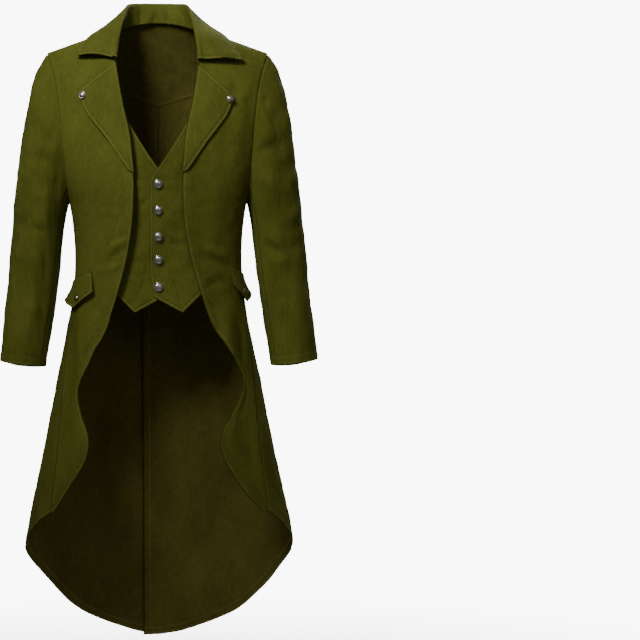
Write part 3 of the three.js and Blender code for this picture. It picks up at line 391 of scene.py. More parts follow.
def yoke_surface(column, share):
    outward = np.abs(column)
    crest = back_crest(outward)
    seam_angle, seam_drop = yoke_seam(outward)
    top_angle = angle_of(crest[..., 0], np.float64(0), True)
    tip_angle = angle_of(SHOULDER_TIP_X, np.float64(0), True)
    on_armhole = back_armhole_angle(yoke_end_drop * share) - lerp(tip_angle, yoke_end_angle, share)
    angle = lerp(top_angle, seam_angle, share) + on_armhole * outward**4
    return body_point(np.where(column < 0, -1, 1), angle, seam_drop * share, crest)


HEM_RISES = ((0.0070, 0.0004, 0.0060), (0.0140, -0.0006, 0.0013))
HEM_LINES = (0.0006, 0.0015, 0.0026, 0.0055, 0.0090, 0.0124, 0.0133, 0.0140, 0.0147, 0.0160, 0.0185)
# How the cloth rises and dips beside each kind of edge, in metres: distance from the edge, height
# and width of each rise, and where the grid needs lines to show it. Lines of painted shade follow:
# in the hollow of a seam, in stitch grooves, and along turned edges as the shadow a raised edge
# casts. Then come pale lines, partly wear and partly painted highlight where an edge or a seam's
# ridge catches the light. Both are given as distance, strength and width. Last come how far the rim
# rounds out in thicknesses of the cloth, and how still the edge holds the swells and creases beside it.
EDGES = {
    "seam": {
        "rises": ((0, -0.0008, 0.0014), (0.0062, 0.0003, 0.0030)),
        "lines": (0.0009, 0.0020, 0.0036, 0.0058, 0.0085),
        "sewn": ((0, 0.75, 0.0011),),
        "wear_and_highlight": ((0.0040, 0.09, 0.0020),),
        "bulge": 0.0,
        "holds": 1.0,
    },
    "hem": {
        "rises": HEM_RISES,
        "lines": HEM_LINES,
        "sewn": ((0, 0.85, 0.0013), (0.0140, 0.26, 0.0010)),
        "wear_and_highlight": ((0.0026, 0.36, 0.0011), (0.0126, 0.10, 0.0010)),
        "bulge": 0.35,
        "holds": 0.0,
    },
    # The underlap's edge carries a broad band of painted shadow, where it lies behind the pressed-over edge
    # of the vent.
    "underlap": {
        "rises": HEM_RISES,
        "lines": HEM_LINES,
        "sewn": ((0, 2.8, 0.0022), (0.0140, 0.30, 0.0010)),
        "wear_and_highlight": (),
        "bulge": 0.35,
        "holds": 0.0,
    },
    "cuff": {
        "rises": ((0.0090, 0.0004, 0.0080), (0.0180, -0.0006, 0.0014)),
        "lines": (0.0006, 0.0015, 0.0028, 0.0060, 0.0110, 0.0150, 0.0170, 0.0180, 0.0190, 0.0210),
        "sewn": ((0, 0.45, 0.0008), (0.0180, 0.30, 0.0011)),
        "wear_and_highlight": ((0.0015, 0.30, 0.0010), (0.0165, 0.10, 0.0010)),
        "bulge": 0.35,
        "holds": 0.0,
    },
    "stitched": {
        "rises": ((0.0026, 0.0003, 0.0022), (0.0052, -0.0006, 0.0012), (0.0100, 0.0002, 0.0040)),
        "lines": (0.0006, 0.0015, 0.0026, 0.0040, 0.0046, 0.0052, 0.0058, 0.0070, 0.0100),
        "sewn": ((0, 0.60, 0.0008), (0.0052, 0.36, 0.0010)),
        "wear_and_highlight": ((0.0016, 0.44, 0.0010), (0.0038, 0.12, 0.0010)),
        "bulge": 0.45,
        "holds": 0.0,
    },
    "folded": {
        "rises": (),
        "lines": (0.0006, 0.0015, 0.0026, 0.0042, 0.0070),
        "sewn": ((0, 0.85, 0.0013),),
        "wear_and_highlight": ((0.0026, 0.34, 0.0011),),
        "bulge": 0.5,
        "holds": 0.0,
    },
    "plain": {"rises": (), "lines": (), "sewn": (), "wear_and_highlight": (), "bulge": 0.0, "holds": 0.0},
}


# Places across and down a surface from which its grid is laid out, the fewest grid lines between
# its edges, and how much of a length the close lines beside its edges may take up.
PLACES_ACROSS, PLACES_DOWN = 61, 121
LEAST_LINES, CLOSE_LINES_TAKE, SLANTED_LINES_TAKE = 4, 0.8, 0.9
LEAST_SKEW = 0.35


def bells(rows, distance):
    """The sum of soft bells, each at its distance with its height and width."""
    total = np.zeros_like(distance)
    for place, height, width in rows:
        total = total + height * np.exp(-(((distance - place) / width) ** 2))
    return total


def running_length(points, axis):
    """Length along the cloth from its first edge to each point of a grid."""
    steps = np.linalg.norm(np.diff(points, axis=axis), axis=-1)
    start = np.zeros_like(np.take(steps, [0], axis=axis))
    return np.concatenate([start, np.cumsum(steps, axis=axis)], axis=axis)


def skew(edge, crossing):
    """How squarely the grid lines that cross an edge meet it; 1 is square."""
    along = unit(np.gradient(edge, axis=0))
    across = unit(crossing)
    return np.clip(np.linalg.norm(np.cross(along, across), axis=-1), LEAST_SKEW, 1)


def grid_lines(length, first, last, spacing):
    """Grid lines, as share of the length and metres from either end, and the close lines' reach."""
    near, far = EDGES[first]["lines"], EDGES[last]["lines"]
    start, end = (near[-1] if near else 0), (far[-1] if far else 0)
    inside = np.linspace(0, 1, max(LEAST_LINES, round((length - start - end) / spacing)))
    rows = [(0, 0, 0)] if near else []
    rows += [(0, place, 0) for place in near[:-1]]
    rows += [(t, start * (1 - t), -end * t) for t in inside]
    rows += [(1, 0, -place) for place in reversed(far[:-1])]
    rows += [(1, 0, 0)] if far else []
    return np.array(rows), start + end


def places_along(lines, margin, lengths, first_skew, last_skew):
    """Metres from the first edge at which each grid line crosses, for each line of the other way."""
    room = np.minimum(1, CLOSE_LINES_TAKE * lengths / max(margin, ALMOST_NOTHING))
    from_first = room / first_skew
    from_last = room / last_skew
    slanted = np.maximum(margin * np.maximum(from_first, from_last), ALMOST_NOTHING)
    fit = np.minimum(1, SLANTED_LINES_TAKE * lengths / slanted)
    share, near, far = lines.T
    return np.outer(lengths, share) + np.outer(from_first * fit, near) + np.outer(from_last * fit, far)


def at_line(table, position):
    """Rows of a table at fractional row numbers."""
    low = np.clip(np.floor(position).astype(int), 0, len(table) - 2)
    share = (position - low)[:, None]
    return table[low] * (1 - share) + table[low + 1] * share


def lay_grid(surface, across, down, kinds, spacing):
    """Grid over a surface whose lines run evenly, and closer beside sewn and turned edges."""
    u, v = np.linspace(*across, PLACES_ACROSS), np.linspace(*down, PLACES_DOWN)
    coarse = surface(*np.meshgrid(u, v))
    over, below = running_length(coarse, 1), running_length(coarse, 0).T
    left = skew(coarse[:, 0], coarse[:, 1] - coarse[:, 0])
    right = skew(coarse[:, -1], coarse[:, -1] - coarse[:, -2])
    top = skew(coarse[0], coarse[1] - coarse[0])
    foot = skew(coarse[-1], coarse[-1] - coarse[-2])
    columns, side_margin = grid_lines(over[:, -1].max(), kinds[0], kinds[1], spacing)
    rows, end_margin = grid_lines(below[:, -1].max(), kinds[2], kinds[3], spacing)
    columns_at = places_along(columns, side_margin, over[:, -1], left, right)
    rows_at = places_along(rows, end_margin, below[:, -1], top, foot)
    middle_row, middle_column = PLACES_DOWN // 2, PLACES_ACROSS // 2
    middle_u = np.interp(columns_at[middle_row], over[middle_row], np.arange(PLACES_ACROSS))
    middle_v = np.interp(rows_at[middle_column], below[middle_column], np.arange(PLACES_DOWN))
    over_rows, column_rows = at_line(over, middle_v), at_line(columns_at, middle_v)
    below_columns, row_columns = at_line(below, middle_u), at_line(rows_at, middle_u)
    grid_u = np.array([np.interp(places, run, u) for places, run in zip(column_rows, over_rows)])
    grid_v = np.array([np.interp(places, run, v) for places, run in zip(row_columns, below_columns)]).T
    return grid_u, grid_v


def edge_distances(points):
    """Distance of each grid point from the first and last column and the first and last row."""
    over, below = running_length(points, 1), running_length(points, 0)
    left = skew(points[:, 0], points[:, 1] - points[:, 0])[:, None]
    right = skew(points[:, -1], points[:, -1] - points[:, -2])[:, None]
    top = skew(points[0], points[1] - points[0])[None]
    foot = skew(points[-1], points[-1] - points[-2])[None]
    return over * left, (over[:, -1:] - over) * right, below * top, (below[-1:] - below) * foot


# Swells of relaxed cloth: their width and length, and their height; then the most that they lean.
SWELLS = (
    (0.120, 0.34, 0.0013), (0.074, 0.19, 0.0009), (0.043, 0.11, 0.0005),
    (0.027, 0.060, 0.00026), (0.061, 0.031, 0.00022),
)
SWELL_LEAN = 0.6
# Shares of its length over which a crease starts and stops, and how far the cloth has to face its
# way. The echo beside it has its depth, distance and width in those of the crease.
CREASE_STARTS, CREASE_STOPS, CREASE_FACES = (-0.15, 0.35), (1.15, 0.65), (-0.2, 0.4)
ECHO_DEPTH, ECHO_AWAY, ECHO_WIDTH = 0.45, 1.9, 1.2


def rumple(over, below, seed):
    """Low swells of relaxed cloth, most of them longer down the cloth than across it."""
    chance = np.random.default_rng(seed)
    swell = 0
    for wide, long, height in SWELLS:
        lean, start, begin = chance.uniform(-SWELL_LEAN, SWELL_LEAN), *chance.uniform(0, 2 * math.pi, 2)
        ripple = np.sin(2 * math.pi * (over + lean * below) / wide + start)
        swell = swell + height * ripple * np.sin(2 * math.pi * below / long + begin)
    return swell


def crease_heights(creases, points, normal):
    """Ridges and troughs, each along its bowed line in x and z with a shallow echo beside it."""
    x, z = points[..., 0], points[..., 2]
    height = np.zeros_like(x)
    for face, x0, z0, x1, z1, bow, width, depth in creases:
        length = math.hypot(x1 - x0, z1 - z0)
        along_x, along_z = (x1 - x0) / length, (z1 - z0) / length
        share = ((x - x0) * along_x + (z - z0) * along_z) / length
        off = (z - z0) * along_x - (x - x0) * along_z - bow * np.sin(math.pi * np.clip(share, 0, 1))
        ends = ease(share, *CREASE_STARTS) * ease(share, *CREASE_STOPS)
        ends = ends * ease(face * normal[..., 1], *CREASE_FACES)
        height += depth * ends * np.exp(-((off / width) ** 2))
        echo = (off - ECHO_AWAY * width) / (ECHO_WIDTH * width)
        height -= ECHO_DEPTH * depth * ends * np.exp(-(echo**2))
    return height


# Drops above and below the whole coat, and how far a seam holds the cloth beside it still.
ABOVE_COAT, BELOW_COAT = -1, 9
SEAM_HOLDS_FOR = 0.022
# Each shell's face, normals, distances from its edges and thickness, for what is sewn onto it later.
SHELLS = {}


def cloth_shell(node, surface, across, down, facing, kinds, look, **ways):
    """A closed shell of cloth over a surface, which replaces the node of the same name.

    kinds names what its first and last column and its first and last row are: one kind, or an
    upper and a lower kind with the drop at which one takes over from the other.
    """
    relief, settled, seed = ways.get("relief"), ways.get("settled"), ways.get("seed", 1)
    grain = ways.get("grain", "middle")
    upper_kinds = [kind if isinstance(kind, str) else kind[0] for kind in kinds]
    grid_u, grid_v = lay_grid(surface, across, down, upper_kinds, ways.get("spacing", GRID))
    base = surface(grid_u, grid_v)
    normal = unit(np.cross(np.gradient(base, axis=1), np.gradient(base, axis=0))) * facing
    distances = edge_distances(base)
    over, below = running_length(base, 1), running_length(base, 0)
    height = np.zeros(base.shape[:2])
    # Masks for the colour: painted shade in seam hollows, stitch grooves and along turned edges, with
    # painted shadow under the vent's underlap; and pale edge lines, partly wear and partly painted
    # highlight.
    sewn, wear_and_highlight, calm = np.zeros_like(height), np.zeros_like(height), np.ones_like(height)
    for kind, distance in zip(kinds, distances):
        parts = [(kind, ABOVE_COAT, BELOW_COAT)]
        if not isinstance(kind, str):
            parts = [(kind[0], ABOVE_COAT, kind[2]), (kind[1], kind[2], BELOW_COAT)]
        for part, from_drop, to_drop in parts:
            there = (base[..., 2] <= -from_drop) & (base[..., 2] > -to_drop)
            height += there * bells(EDGES[part]["rises"], distance)
            sewn = np.maximum(sewn, there * bells(EDGES[part]["sewn"], distance))
            wear_and_highlight = np.maximum(wear_and_highlight, there * bells(EDGES[part]["wear_and_highlight"], distance))
            held = EDGES[part]["holds"] * np.exp(-((distance / SEAM_HOLDS_FOR) ** 2))
            calm = calm * (1 - there * held)
    if settled:
        calm = calm * settled(grid_u, grid_v)
    height += calm * rumple(over, below, seed) * look["limpness"]
    if relief:
        height += calm * relief(base, normal, grid_u, grid_v)
    outer = base + normal * height[..., None]
    inner = outer - normal * look["thickness"]
    if grain == "middle":
        over = over - over[:, [over.shape[1] // 2]]
    if grain == "centre":
        over = over + np.abs(base[:, :1, 0])
    weave = np.stack([over, below], axis=-1)
    SHELLS[node] = {
        "outer": outer,
        "normal": normal,
        "distances": distances,
        "thickness": look["thickness"],
    }
    number = np.arange(height.size).reshape(height.shape)
    bulge = np.zeros_like(outer)
    round_left, round_right, round_top, round_foot = (EDGES[kind]["bulge"] for kind in upper_kinds)
    bulge[:, 0] -= unit(outer[:, 1] - outer[:, 0]) * round_left
    bulge[:, -1] += unit(outer[:, -1] - outer[:, -2]) * round_right
    bulge[0] -= unit(outer[1] - outer[0]) * round_top
    bulge[-1] += unit(outer[-1] - outer[-2]) * round_foot
    rim = np.concatenate([number[0, :-1], number[:-1, -1], number[-1, :0:-1], number[:0:-1, 0]])
    middle = ((outer + inner) / 2 + bulge * look["thickness"]).reshape(-1, 3)[rim]
    vertices = np.concatenate([outer.reshape(-1, 3), inner.reshape(-1, 3), middle])
    corners_of = (number[:-1, :-1], number[:-1, 1:], number[1:, 1:], number[1:, :-1])
    squares = np.stack(corners_of, axis=-1).reshape(-1, 4)
    inside = squares[:, ::-1] + height.size
    turn = np.roll(rim, -1)
    halfway = 2 * height.size + np.arange(len(rim))
    next_halfway = np.roll(halfway, -1)
    upper = np.stack([turn, rim, halfway, next_halfway], axis=-1)
    lower = np.stack([next_halfway, halfway, rim + height.size, turn + height.size], axis=-1)
    faces = np.concatenate([squares, upper, lower, inside])
    if facing < 0:
        faces = faces[:, ::-1]
    mesh = bpy.data.meshes.new(node)
    mesh.from_pydata(vertices.tolist(), [], faces.tolist())
    mesh.materials.append(look["face"])
    mesh.materials.append(look["reverse"])
    slots = np.zeros(len(faces), int)
    slots[-len(inside):] = 1
    mesh.polygons.foreach_set("material_index", slots)
    mesh.polygons.foreach_set("use_smooth", np.ones(len(faces), bool))
    # Both masks go onto the mesh as point attributes: painted shade, and pale edge lines that are partly
    # wear and partly painted highlight.
    on_rim = [values.reshape(-1)[rim] for values in (sewn, wear_and_highlight)]
    for name, values, edge_values in zip(("sewn", "wear_and_highlight"), (sewn, wear_and_highlight), on_rim):
        whole = np.concatenate([values.reshape(-1), values.reshape(-1), edge_values])
        mesh.attributes.new(name, "FLOAT", "POINT").data.foreach_set("value", whole)
    flat_weave = np.concatenate([weave.reshape(-1, 2), weave.reshape(-1, 2), weave.reshape(-1, 2)[rim]])
    corners = np.empty(len(mesh.loops), int)
    mesh.loops.foreach_get("vertex_index", corners)
    mesh.uv_layers.new(name="weave").data.foreach_set("uv", flat_weave[corners].reshape(-1))
    mesh.validate()
    piece = bpy.data.objects.new(node + "_cloth", mesh)
    bpy.context.collection.objects.link(piece)
    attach(piece, "root")
    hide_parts(node)
    return piece


# Each part of the twill's pattern: how often it repeats in a metre across, down and through the
# cloth, and its detail. Then how much each lightens the colour, and how much it raises the surface.
WANDER, WARP, WEFT = ((60, 60, 0), 2), ((420, 36, 0), 3), ((22, 380, 0), 3)
SLUBS, MOTTLE, GRAIN = ((150, 80, 0), 4), ((15, 15, 8), 5), ((900, 900, 0), 2)
TONE = {"warp": 0.38, "weft": 0.42, "slubs": 0.55, "mottle": 0.9, "grain": 0.3, "ribs": 0.06}
RELIEF = {"ribs": 0.35, "warp": 1.3, "weft": 0.7, "slubs": 1.2, "grain": 0.7}
TONE_LEVEL = 0.78
RIB_SLANT, RIB_WANDER = (1, 0.8, 0), 3.0
# How strongly the pale edge lines show, which are partly wear and partly painted highlight, and how
# much the grain breaks them up; how dark the painted shade in seams, stitch grooves and along edges
# is beside the hollows of the twill; and how much its roughness varies.
WEAR_AND_HIGHLIGHT_SHOWS, WEAR_AND_HIGHLIGHT_BREAKS_UP, PAINTED_SHADE_TONE, ROUGHNESS_VARIES = 0.45, 0.5, 0.3, 0.12


def twill(name, deep, light, wear_and_highlight_colour, roughness, painted_shade_strength):
    """Olive twill: fine diagonal ribs, slubs down the warp, a soft mottle, pale edges that are partly wear
    and partly painted highlight, and painted shade along seams and edges.
    """
    material, cloth, start = new_material(name)
    place = start.node("ShaderNodeTexCoord", output="Object")
    weave = start.node("ShaderNodeUVMap", {"uv_map": "weave"})

    def noise(vector, stretch, detail):
        scaled = start.node("ShaderNodeVectorMath", {"operation": "MULTIPLY"}, {0: vector, 1: stretch})
        return start.node("ShaderNodeTexNoise", None, {"Vector": scaled, "Scale": 1.0, "Detail": detail})

    wander = noise(weave, *WANDER)
    across_ribs = start.node(
        "ShaderNodeVectorMath", {"operation": "DOT_PRODUCT"}, {0: weave, 1: RIB_SLANT}, "Value"
    )
    phase = across_ribs * (2 * math.pi / RIB_SPACING) + wander * RIB_WANDER
    parts = {
        "ribs": phase.math("SINE", phase),
        "warp": noise(weave, *WARP),
        "weft": noise(weave, *WEFT),
        "slubs": noise(weave, *SLUBS),
        "mottle": noise(place, *MOTTLE),
        "grain": noise(weave, *GRAIN),
    }

    def added_up(shares):
        return functools.reduce(operator.add, [parts[part] * share for part, share in shares.items()])

    grain = parts["grain"]
    tone = added_up(TONE) - TONE_LEVEL
    shade = tone.math("MINIMUM", tone.math("MAXIMUM", tone, 0.0), 1.0).between(deep, light)
    sewn = start.node("ShaderNodeAttribute", {"attribute_name": "sewn"}, output="Fac")
    wear_and_highlight = start.node("ShaderNodeAttribute", {"attribute_name": "wear_and_highlight"}, output="Fac")
    # Pale edge lines: partly wear, partly painted highlight where an edge catches the light.
    pale = (wear_and_highlight * (WEAR_AND_HIGHLIGHT_SHOWS + grain * WEAR_AND_HIGHLIGHT_BREAKS_UP)).between(shade, wear_and_highlight_colour)
    # Painted shade in seams, stitch grooves and along turned edges darkens the cloth towards this colour.
    dark = tuple(PAINTED_SHADE_TONE * part for part in deep[:3]) + (1,)
    (sewn * painted_shade_strength).between(pale, dark).feeds(cloth.inputs["Base Color"])
    (roughness + (grain - 0.5) * ROUGHNESS_VARIES).feeds(cloth.inputs["Roughness"])
    bump = start.node(
        "ShaderNodeBump", None, {"Strength": 0.6, "Distance": 0.0005, "Height": added_up(RELIEF)}
    )
    bump.feeds(cloth.inputs["Normal"])
    cloth.inputs["Sheen Weight"].default_value = 0.03
    cloth.inputs["Sheen Roughness"].default_value = 0.5
    cloth.inputs["Sheen Tint"].default_value = wear_and_highlight_colour
    cloth.inputs["Specular IOR Level"].default_value = 0.05
    return material


# Colours of the twill's hollows, of its raised yarn and of its pale edges (partly wear, partly
# painted highlight), its roughness, and how much of its painted shade along seams and edges shows.
# The reverse is browner than the face, and darker partly as painted shade for the inside of the coat.
COAT_FACE = twill(
    "coat_twill_face",
    (0.044, 0.049, 0.0054, 1), (0.111, 0.119, 0.0178, 1), (0.21, 0.22, 0.050, 1), 0.86, 0.75
)
PRESSED_FACE = twill(
    "pressed_twill_face",
    (0.046, 0.051, 0.0056, 1), (0.113, 0.121, 0.0185, 1), (0.22, 0.23, 0.052, 1), 0.82, 0.75
)
# The reverse: browner than the face, and a little darker, partly as painted shade for the inside of the
# coat.
REVERSE_WITH_PAINTED_SHADE = twill(
    "twill_reverse_with_painted_shade",
    (0.044, 0.038, 0.0072, 1), (0.106, 0.096, 0.0190, 1), (0.16, 0.15, 0.038, 1), 0.92, 0.32
)
COAT = {
    "face": COAT_FACE,
    "reverse": REVERSE_WITH_PAINTED_SHADE,
    "thickness": CLOTH,
    "slot": "coat_twill",
    "limpness": 1.0,
}
PRESSED = {
    "face": PRESSED_FACE,
    "reverse": PRESSED_FACE,
    "thickness": DOUBLED_CLOTH,
    "slot": "pressed_twill",
    "limpness": 0.35,
}


def creased(creases):
    """Relief made by a piece's creases alone."""
    return lambda points, normal, u, v: crease_heights(creases, points, normal)


# Sizes of the visible machine stitches, as the tree's inputs, and how far they stand off the cloth.
STITCH = {"Stitch length": 0.0030, "Gap": 0.0012, "Thread thickness": 0.0007}
STITCH_LIFT = 0.0002
LEAST_STITCH, STITCH_SEED, STITCH_SIDES, STITCH_RINGS = 0.85, 7, 5, 4
LINE_STEP = 0.003
FIBRES_IN_A_METRE = 900.0
COTTON_ROUGHNESS, COTTON_ROUGHNESS_VARIES = 0.45, 0.2


def thread_material(name, dark, pale):
    """Sewing cotton, a little paler and glossier than the cloth."""
    material, cotton, start = new_material(name)
    place = start.node("ShaderNodeTexCoord", output="Object")
    fibre = start.node(
        "ShaderNodeTexNoise", None, {"Vector": place, "Scale": FIBRES_IN_A_METRE, "Detail": 2.0}
    )
    fibre.between(dark, pale).feeds(cotton.inputs["Base Color"])
    (COTTON_ROUGHNESS + fibre * COTTON_ROUGHNESS_VARIES).feeds(cotton.inputs["Roughness"])
    bump = start.node("ShaderNodeBump", None, {"Strength": 0.3, "Distance": 0.0001, "Height": fibre})
    bump.feeds(cotton.inputs["Normal"])
    return material


def stitching_tree():
    """Turns lines into rows of separate stitches: rounded grains of thread laid end to end."""
    tree = bpy.data.node_groups.new("sewn_stitches", "GeometryNodeTree")
    tree.interface.new_socket("Seam lines", in_out="INPUT", socket_type="NodeSocketGeometry")
    for name, size in STITCH.items():
        tree.interface.new_socket(name, in_out="INPUT", socket_type="NodeSocketFloat").default_value = size
    tree.interface.new_socket("Thread", in_out="INPUT", socket_type="NodeSocketMaterial")
    tree.interface.new_socket("Stitches", in_out="OUTPUT", socket_type="NodeSocketGeometry")
    names = (*STITCH, "Seam lines", "Thread")
    given = {name: Socket(tree).node("NodeGroupInput", output=name) for name in names}
    length, thickness = given["Stitch length"], given["Thread thickness"]
    curve = length.node("GeometryNodeMeshToCurve", None, {"Mesh": given["Seam lines"]})
    spaced = curve.node(
        "GeometryNodeResampleCurve", {"mode": "LENGTH"}, {"Curve": curve, "Length": length + given["Gap"]}
    )
    chance = curve.node("FunctionNodeRandomValue", None, {2: LEAST_STITCH, 3: 1.0, "Seed": STITCH_SEED}, 1)
    size = curve.node("ShaderNodeCombineXYZ", None, {"X": thickness, "Y": thickness, "Z": length * chance})
    tangent = curve.node("GeometryNodeInputTangent")
    turn = curve.node("FunctionNodeAlignRotationToVector", {"axis": "Z"}, {"Vector": tangent})
    ball = curve.node(
        "GeometryNodeMeshUVSphere", None, {"Segments": STITCH_SIDES, "Rings": STITCH_RINGS, "Radius": 0.5}
    )
    places = {"Points": spaced, "Instance": ball, "Rotation": turn, "Scale": size}
    laid = curve.node("GeometryNodeInstanceOnPoints", None, places)
    real = laid.node("GeometryNodeRealizeInstances", None, {"Geometry": laid})
    shaded = real.node("GeometryNodeSetMaterial", None, {"Geometry": real, "Material": given["Thread"]})
    shaded.node("NodeGroupOutput", None, {"Stitches": shaded})
    return tree


SEWING_COTTON = thread_material("sewing_cotton", (0.075, 0.080, 0.012, 1), (0.16, 0.165, 0.036, 1))
BOBBIN_COTTON = thread_material("bobbin_cotton", (0.24, 0.23, 0.07, 1), (0.40, 0.38, 0.14, 1))
STITCHES = stitching_tree()


def evenly(line, trim=(0, 0)):
    """The line in even steps, without what is trimmed off its two ends."""
    run = running_length(line, 0)
    at = np.linspace(trim[0], run[-1] - trim[1], max(2, round(run[-1] / LINE_STEP)))
    return np.stack([np.interp(at, run, line[:, axis]) for axis in range(3)], axis=-1)


def line_beside(node, edge, distance, trim=(0, 0), below=ABOVE_COAT, on_reverse=False):
    """A line on a shell's cloth at a distance from its first or last column, or first or last row."""
    shell = SHELLS[node]
    lift = -(shell["thickness"] + STITCH_LIFT) if on_reverse else STITCH_LIFT
    cloth, far = shell["outer"] + shell["normal"] * lift, shell["distances"][edge]
    if edge in (2, 3):
        cloth, far = cloth.transpose(1, 0, 2), far.T
    if edge in (1, 3):
        cloth, far = cloth[:, ::-1], far[:, ::-1]
    line = np.array([
        [np.interp(distance, run, crossing[:, axis]) for axis in range(3)]
        for run, crossing in zip(far, cloth)
    ])
    return evenly(line[line[:, 2] < -below], trim)


def sew(name, lines, cotton=SEWING_COTTON):
    """Thread along the lines, made by the tree and kept as one plain mesh."""
    starts = np.cumsum([0] + [len(line) for line in lines])
    steps = [(k, k + 1) for first, after in zip(starts, starts[1:]) for k in range(first, after - 1)]
    mesh = bpy.data.meshes.new(name)
    mesh.from_pydata(np.concatenate(lines).tolist(), steps, [])
    thread = bpy.data.objects.new(name, mesh)
    bpy.context.collection.objects.link(thread)
    sewing = thread.modifiers.new("stitches", "NODES")
    sewing.node_group = STITCHES
    wanted = {**STITCH, "Thread": cotton}
    for item in STITCHES.interface.items_tree:
        if item.name in wanted:
            sewing[item.identifier] = wanted[item.name]
    made = bpy.data.meshes.new_from_object(thread.evaluated_get(bpy.context.evaluated_depsgraph_get()))
    thread.modifiers.remove(sewing)
    thread.data = made
    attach(thread, "root")


yoke = cloth_shell(
    "back_yoke",
    yoke_surface,
    (-1, 1),
    (0, 1),
    1,
    ("seam", "seam", "seam", "seam"),
    COAT,
    relief=creased(YOKE_CREASES),
    seed=11,
)

# ---- Backs and tails ----
# A left and a right back, each in one with its tail, joined down the centre. The seam opens into a
# vent: the right edge is pressed over, and the left one carries an underlap that lies behind it.
# The side seam as drop and angle, and the hem as angle and drop from there to the tail's point.
SIDE_SEAM = np.array([(0.351, 90), (0.470, 85), (0.600, 77), (0.731, 68), (0.850, 61.5), (0.966, 58.5)])
SIDE_SEAM_END = 0.966
HEM = np.array([
    (58.5, 0.966), (66, 0.982), (75, 1.001), (90, 1.030), (113, 1.087),
    (130, 1.148), (148, 1.204), (170, 1.248), (180, 1.257),
])
TAIL_DROP = 1.257
CENTRE_AT_ARMPIT = 0.400
BACK_ROWS_BELOW_ARMPIT = 15
VENT_DROP = 0.517
VENT_UNDERLAP, VENT_STEP_IN, VENT_PRESSED_OVER, VENT_NARROWEST = 0.034, 0.0032, 0.045, 0.002
UNDERLAP_HANGS_CLEAR = 0.0045
UNDERLAP_COLUMN, STEP_COLUMN = -0.1, 0.08
BACK_CREASES = (
    (1, 0.168, -0.270, 0.110, -0.308, 0.004, 0.012, -0.0029),
    (1, 0.164, -0.334, 0.102, -0.338, -0.003, 0.012, 0.0022),
    (1, 0.152, -0.184, 0.146, -0.264, 0.004, 0.014, 0.0022),
    (1, 0.070, -0.444, 0.112, -0.488, 0.003, 0.009, -0.0027),
    (1, 0.058, -0.468, 0.074, -0.524, 0.003, 0.010, 0.0022),
    (1, 0.028, -0.284, 0.030, -0.374, 0.002, 0.009, 0.0014),
    (1, 0.052, -0.604, 0.066, -0.824, 0.006, 0.018, 0.0040),
    (1, 0.122, -0.784, 0.146, -0.984, -0.006, 0.020, -0.0040),
    (1, -0.158, -0.264, -0.118, -0.314, 0.004, 0.012, -0.0029),
    (1, -0.182, -0.194, -0.170, -0.284, 0.003, 0.010, 0.0023),
    (1, -0.074, -0.422, -0.120, -0.498, -0.004, 0.010, -0.0040),
    (1, -0.062, -0.444, -0.088, -0.514, -0.003, 0.010, 0.0025),
    (1, -0.038, -0.284, -0.036, -0.384, 0.002, 0.010, 0.0014),
    (1, -0.054, -0.704, -0.070, -0.884, 0.005, 0.020, -0.0036),
    (1, -0.128, -0.744, -0.150, -0.944, 0.006, 0.018, 0.0040),
)
# Columns over which the cloth goes from flat beside the centre seam to its full swells.
BACK_SETTLES = (0.03, 0.2)
HEM_STITCH, HEM_STITCH_STOPS, VENT_STITCH_STARTS = 0.0140, 0.002, 0.004
# The sewn bar at the top of the vent, its second row, how much cloth a point of it averages, and
# the points on each of its sides.
BAR_LEFT, BAR_RIGHT, BAR_TOP, BAR_FOOT, BAR_SECOND_ROW = -0.033, -0.002, -0.588, -0.601, 0.0022
PATCH_REACH, BAR_POINTS = 0.003, 5

side_seam_angle = smooth_curve(SIDE_SEAM, 1)
hem_drop = smooth_curve(HEM, 1)
below_yoke = armhole_back[ARMHOLE_STATIONS >= YOKE_STATION]
ARMPIT_ROW = len(below_yoke) - 1
LAST_BACK_ROW = ARMPIT_ROW + BACK_ROWS_BELOW_ARMPIT
yoke_point_drop = float(yoke_seam(np.array([0.0]))[1][0])
back_rows = np.arange(LAST_BACK_ROW + 1)
down_share = np.linspace(0, 1, BACK_ROWS_BELOW_ARMPIT + 1)
side_drops = np.r_[below_yoke[:, 0], lerp(ARMPIT_DROP, SIDE_SEAM_END, down_share[1:])]
centre_drops = np.r_[
    lerp(yoke_point_drop, CENTRE_AT_ARMPIT, np.arange(ARMPIT_ROW + 1) / ARMPIT_ROW),
    lerp(CENTRE_AT_ARMPIT, TAIL_DROP, down_share[1:]),
]


def back_place(column, row):
    """Angle and drop of a place on a back panel, whose rows run from the yoke seam to the hem."""
    side_drop = np.interp(row, back_rows, side_drops)
    side_angle = np.where(row < ARMPIT_ROW, back_armhole_angle(side_drop), side_seam_angle(side_drop))
    angle = lerp(180, side_angle, column)
    seam_drop = yoke_seam(column)[1]
    from_seam = seam_drop - lerp(centre_drops[0], side_drops[0], column)
    hem_angle = lerp(180, SIDE_SEAM[-1, 1], column)
    from_hem = hem_drop(hem_angle) - lerp(TAIL_DROP, SIDE_SEAM_END, column)
    near_seam = np.maximum(0, 1 - row / ARMPIT_ROW) ** 2
    near_hem = ease(row, ARMPIT_ROW, LAST_BACK_ROW)
    drop = lerp(np.interp(row, back_rows, centre_drops), side_drop, column)
    return angle, drop + from_seam * near_seam + from_hem * near_hem


def right_back(column, row):
    angle, drop = back_place(column, row)
    return body_point(-1, angle, drop, back_crest(column))


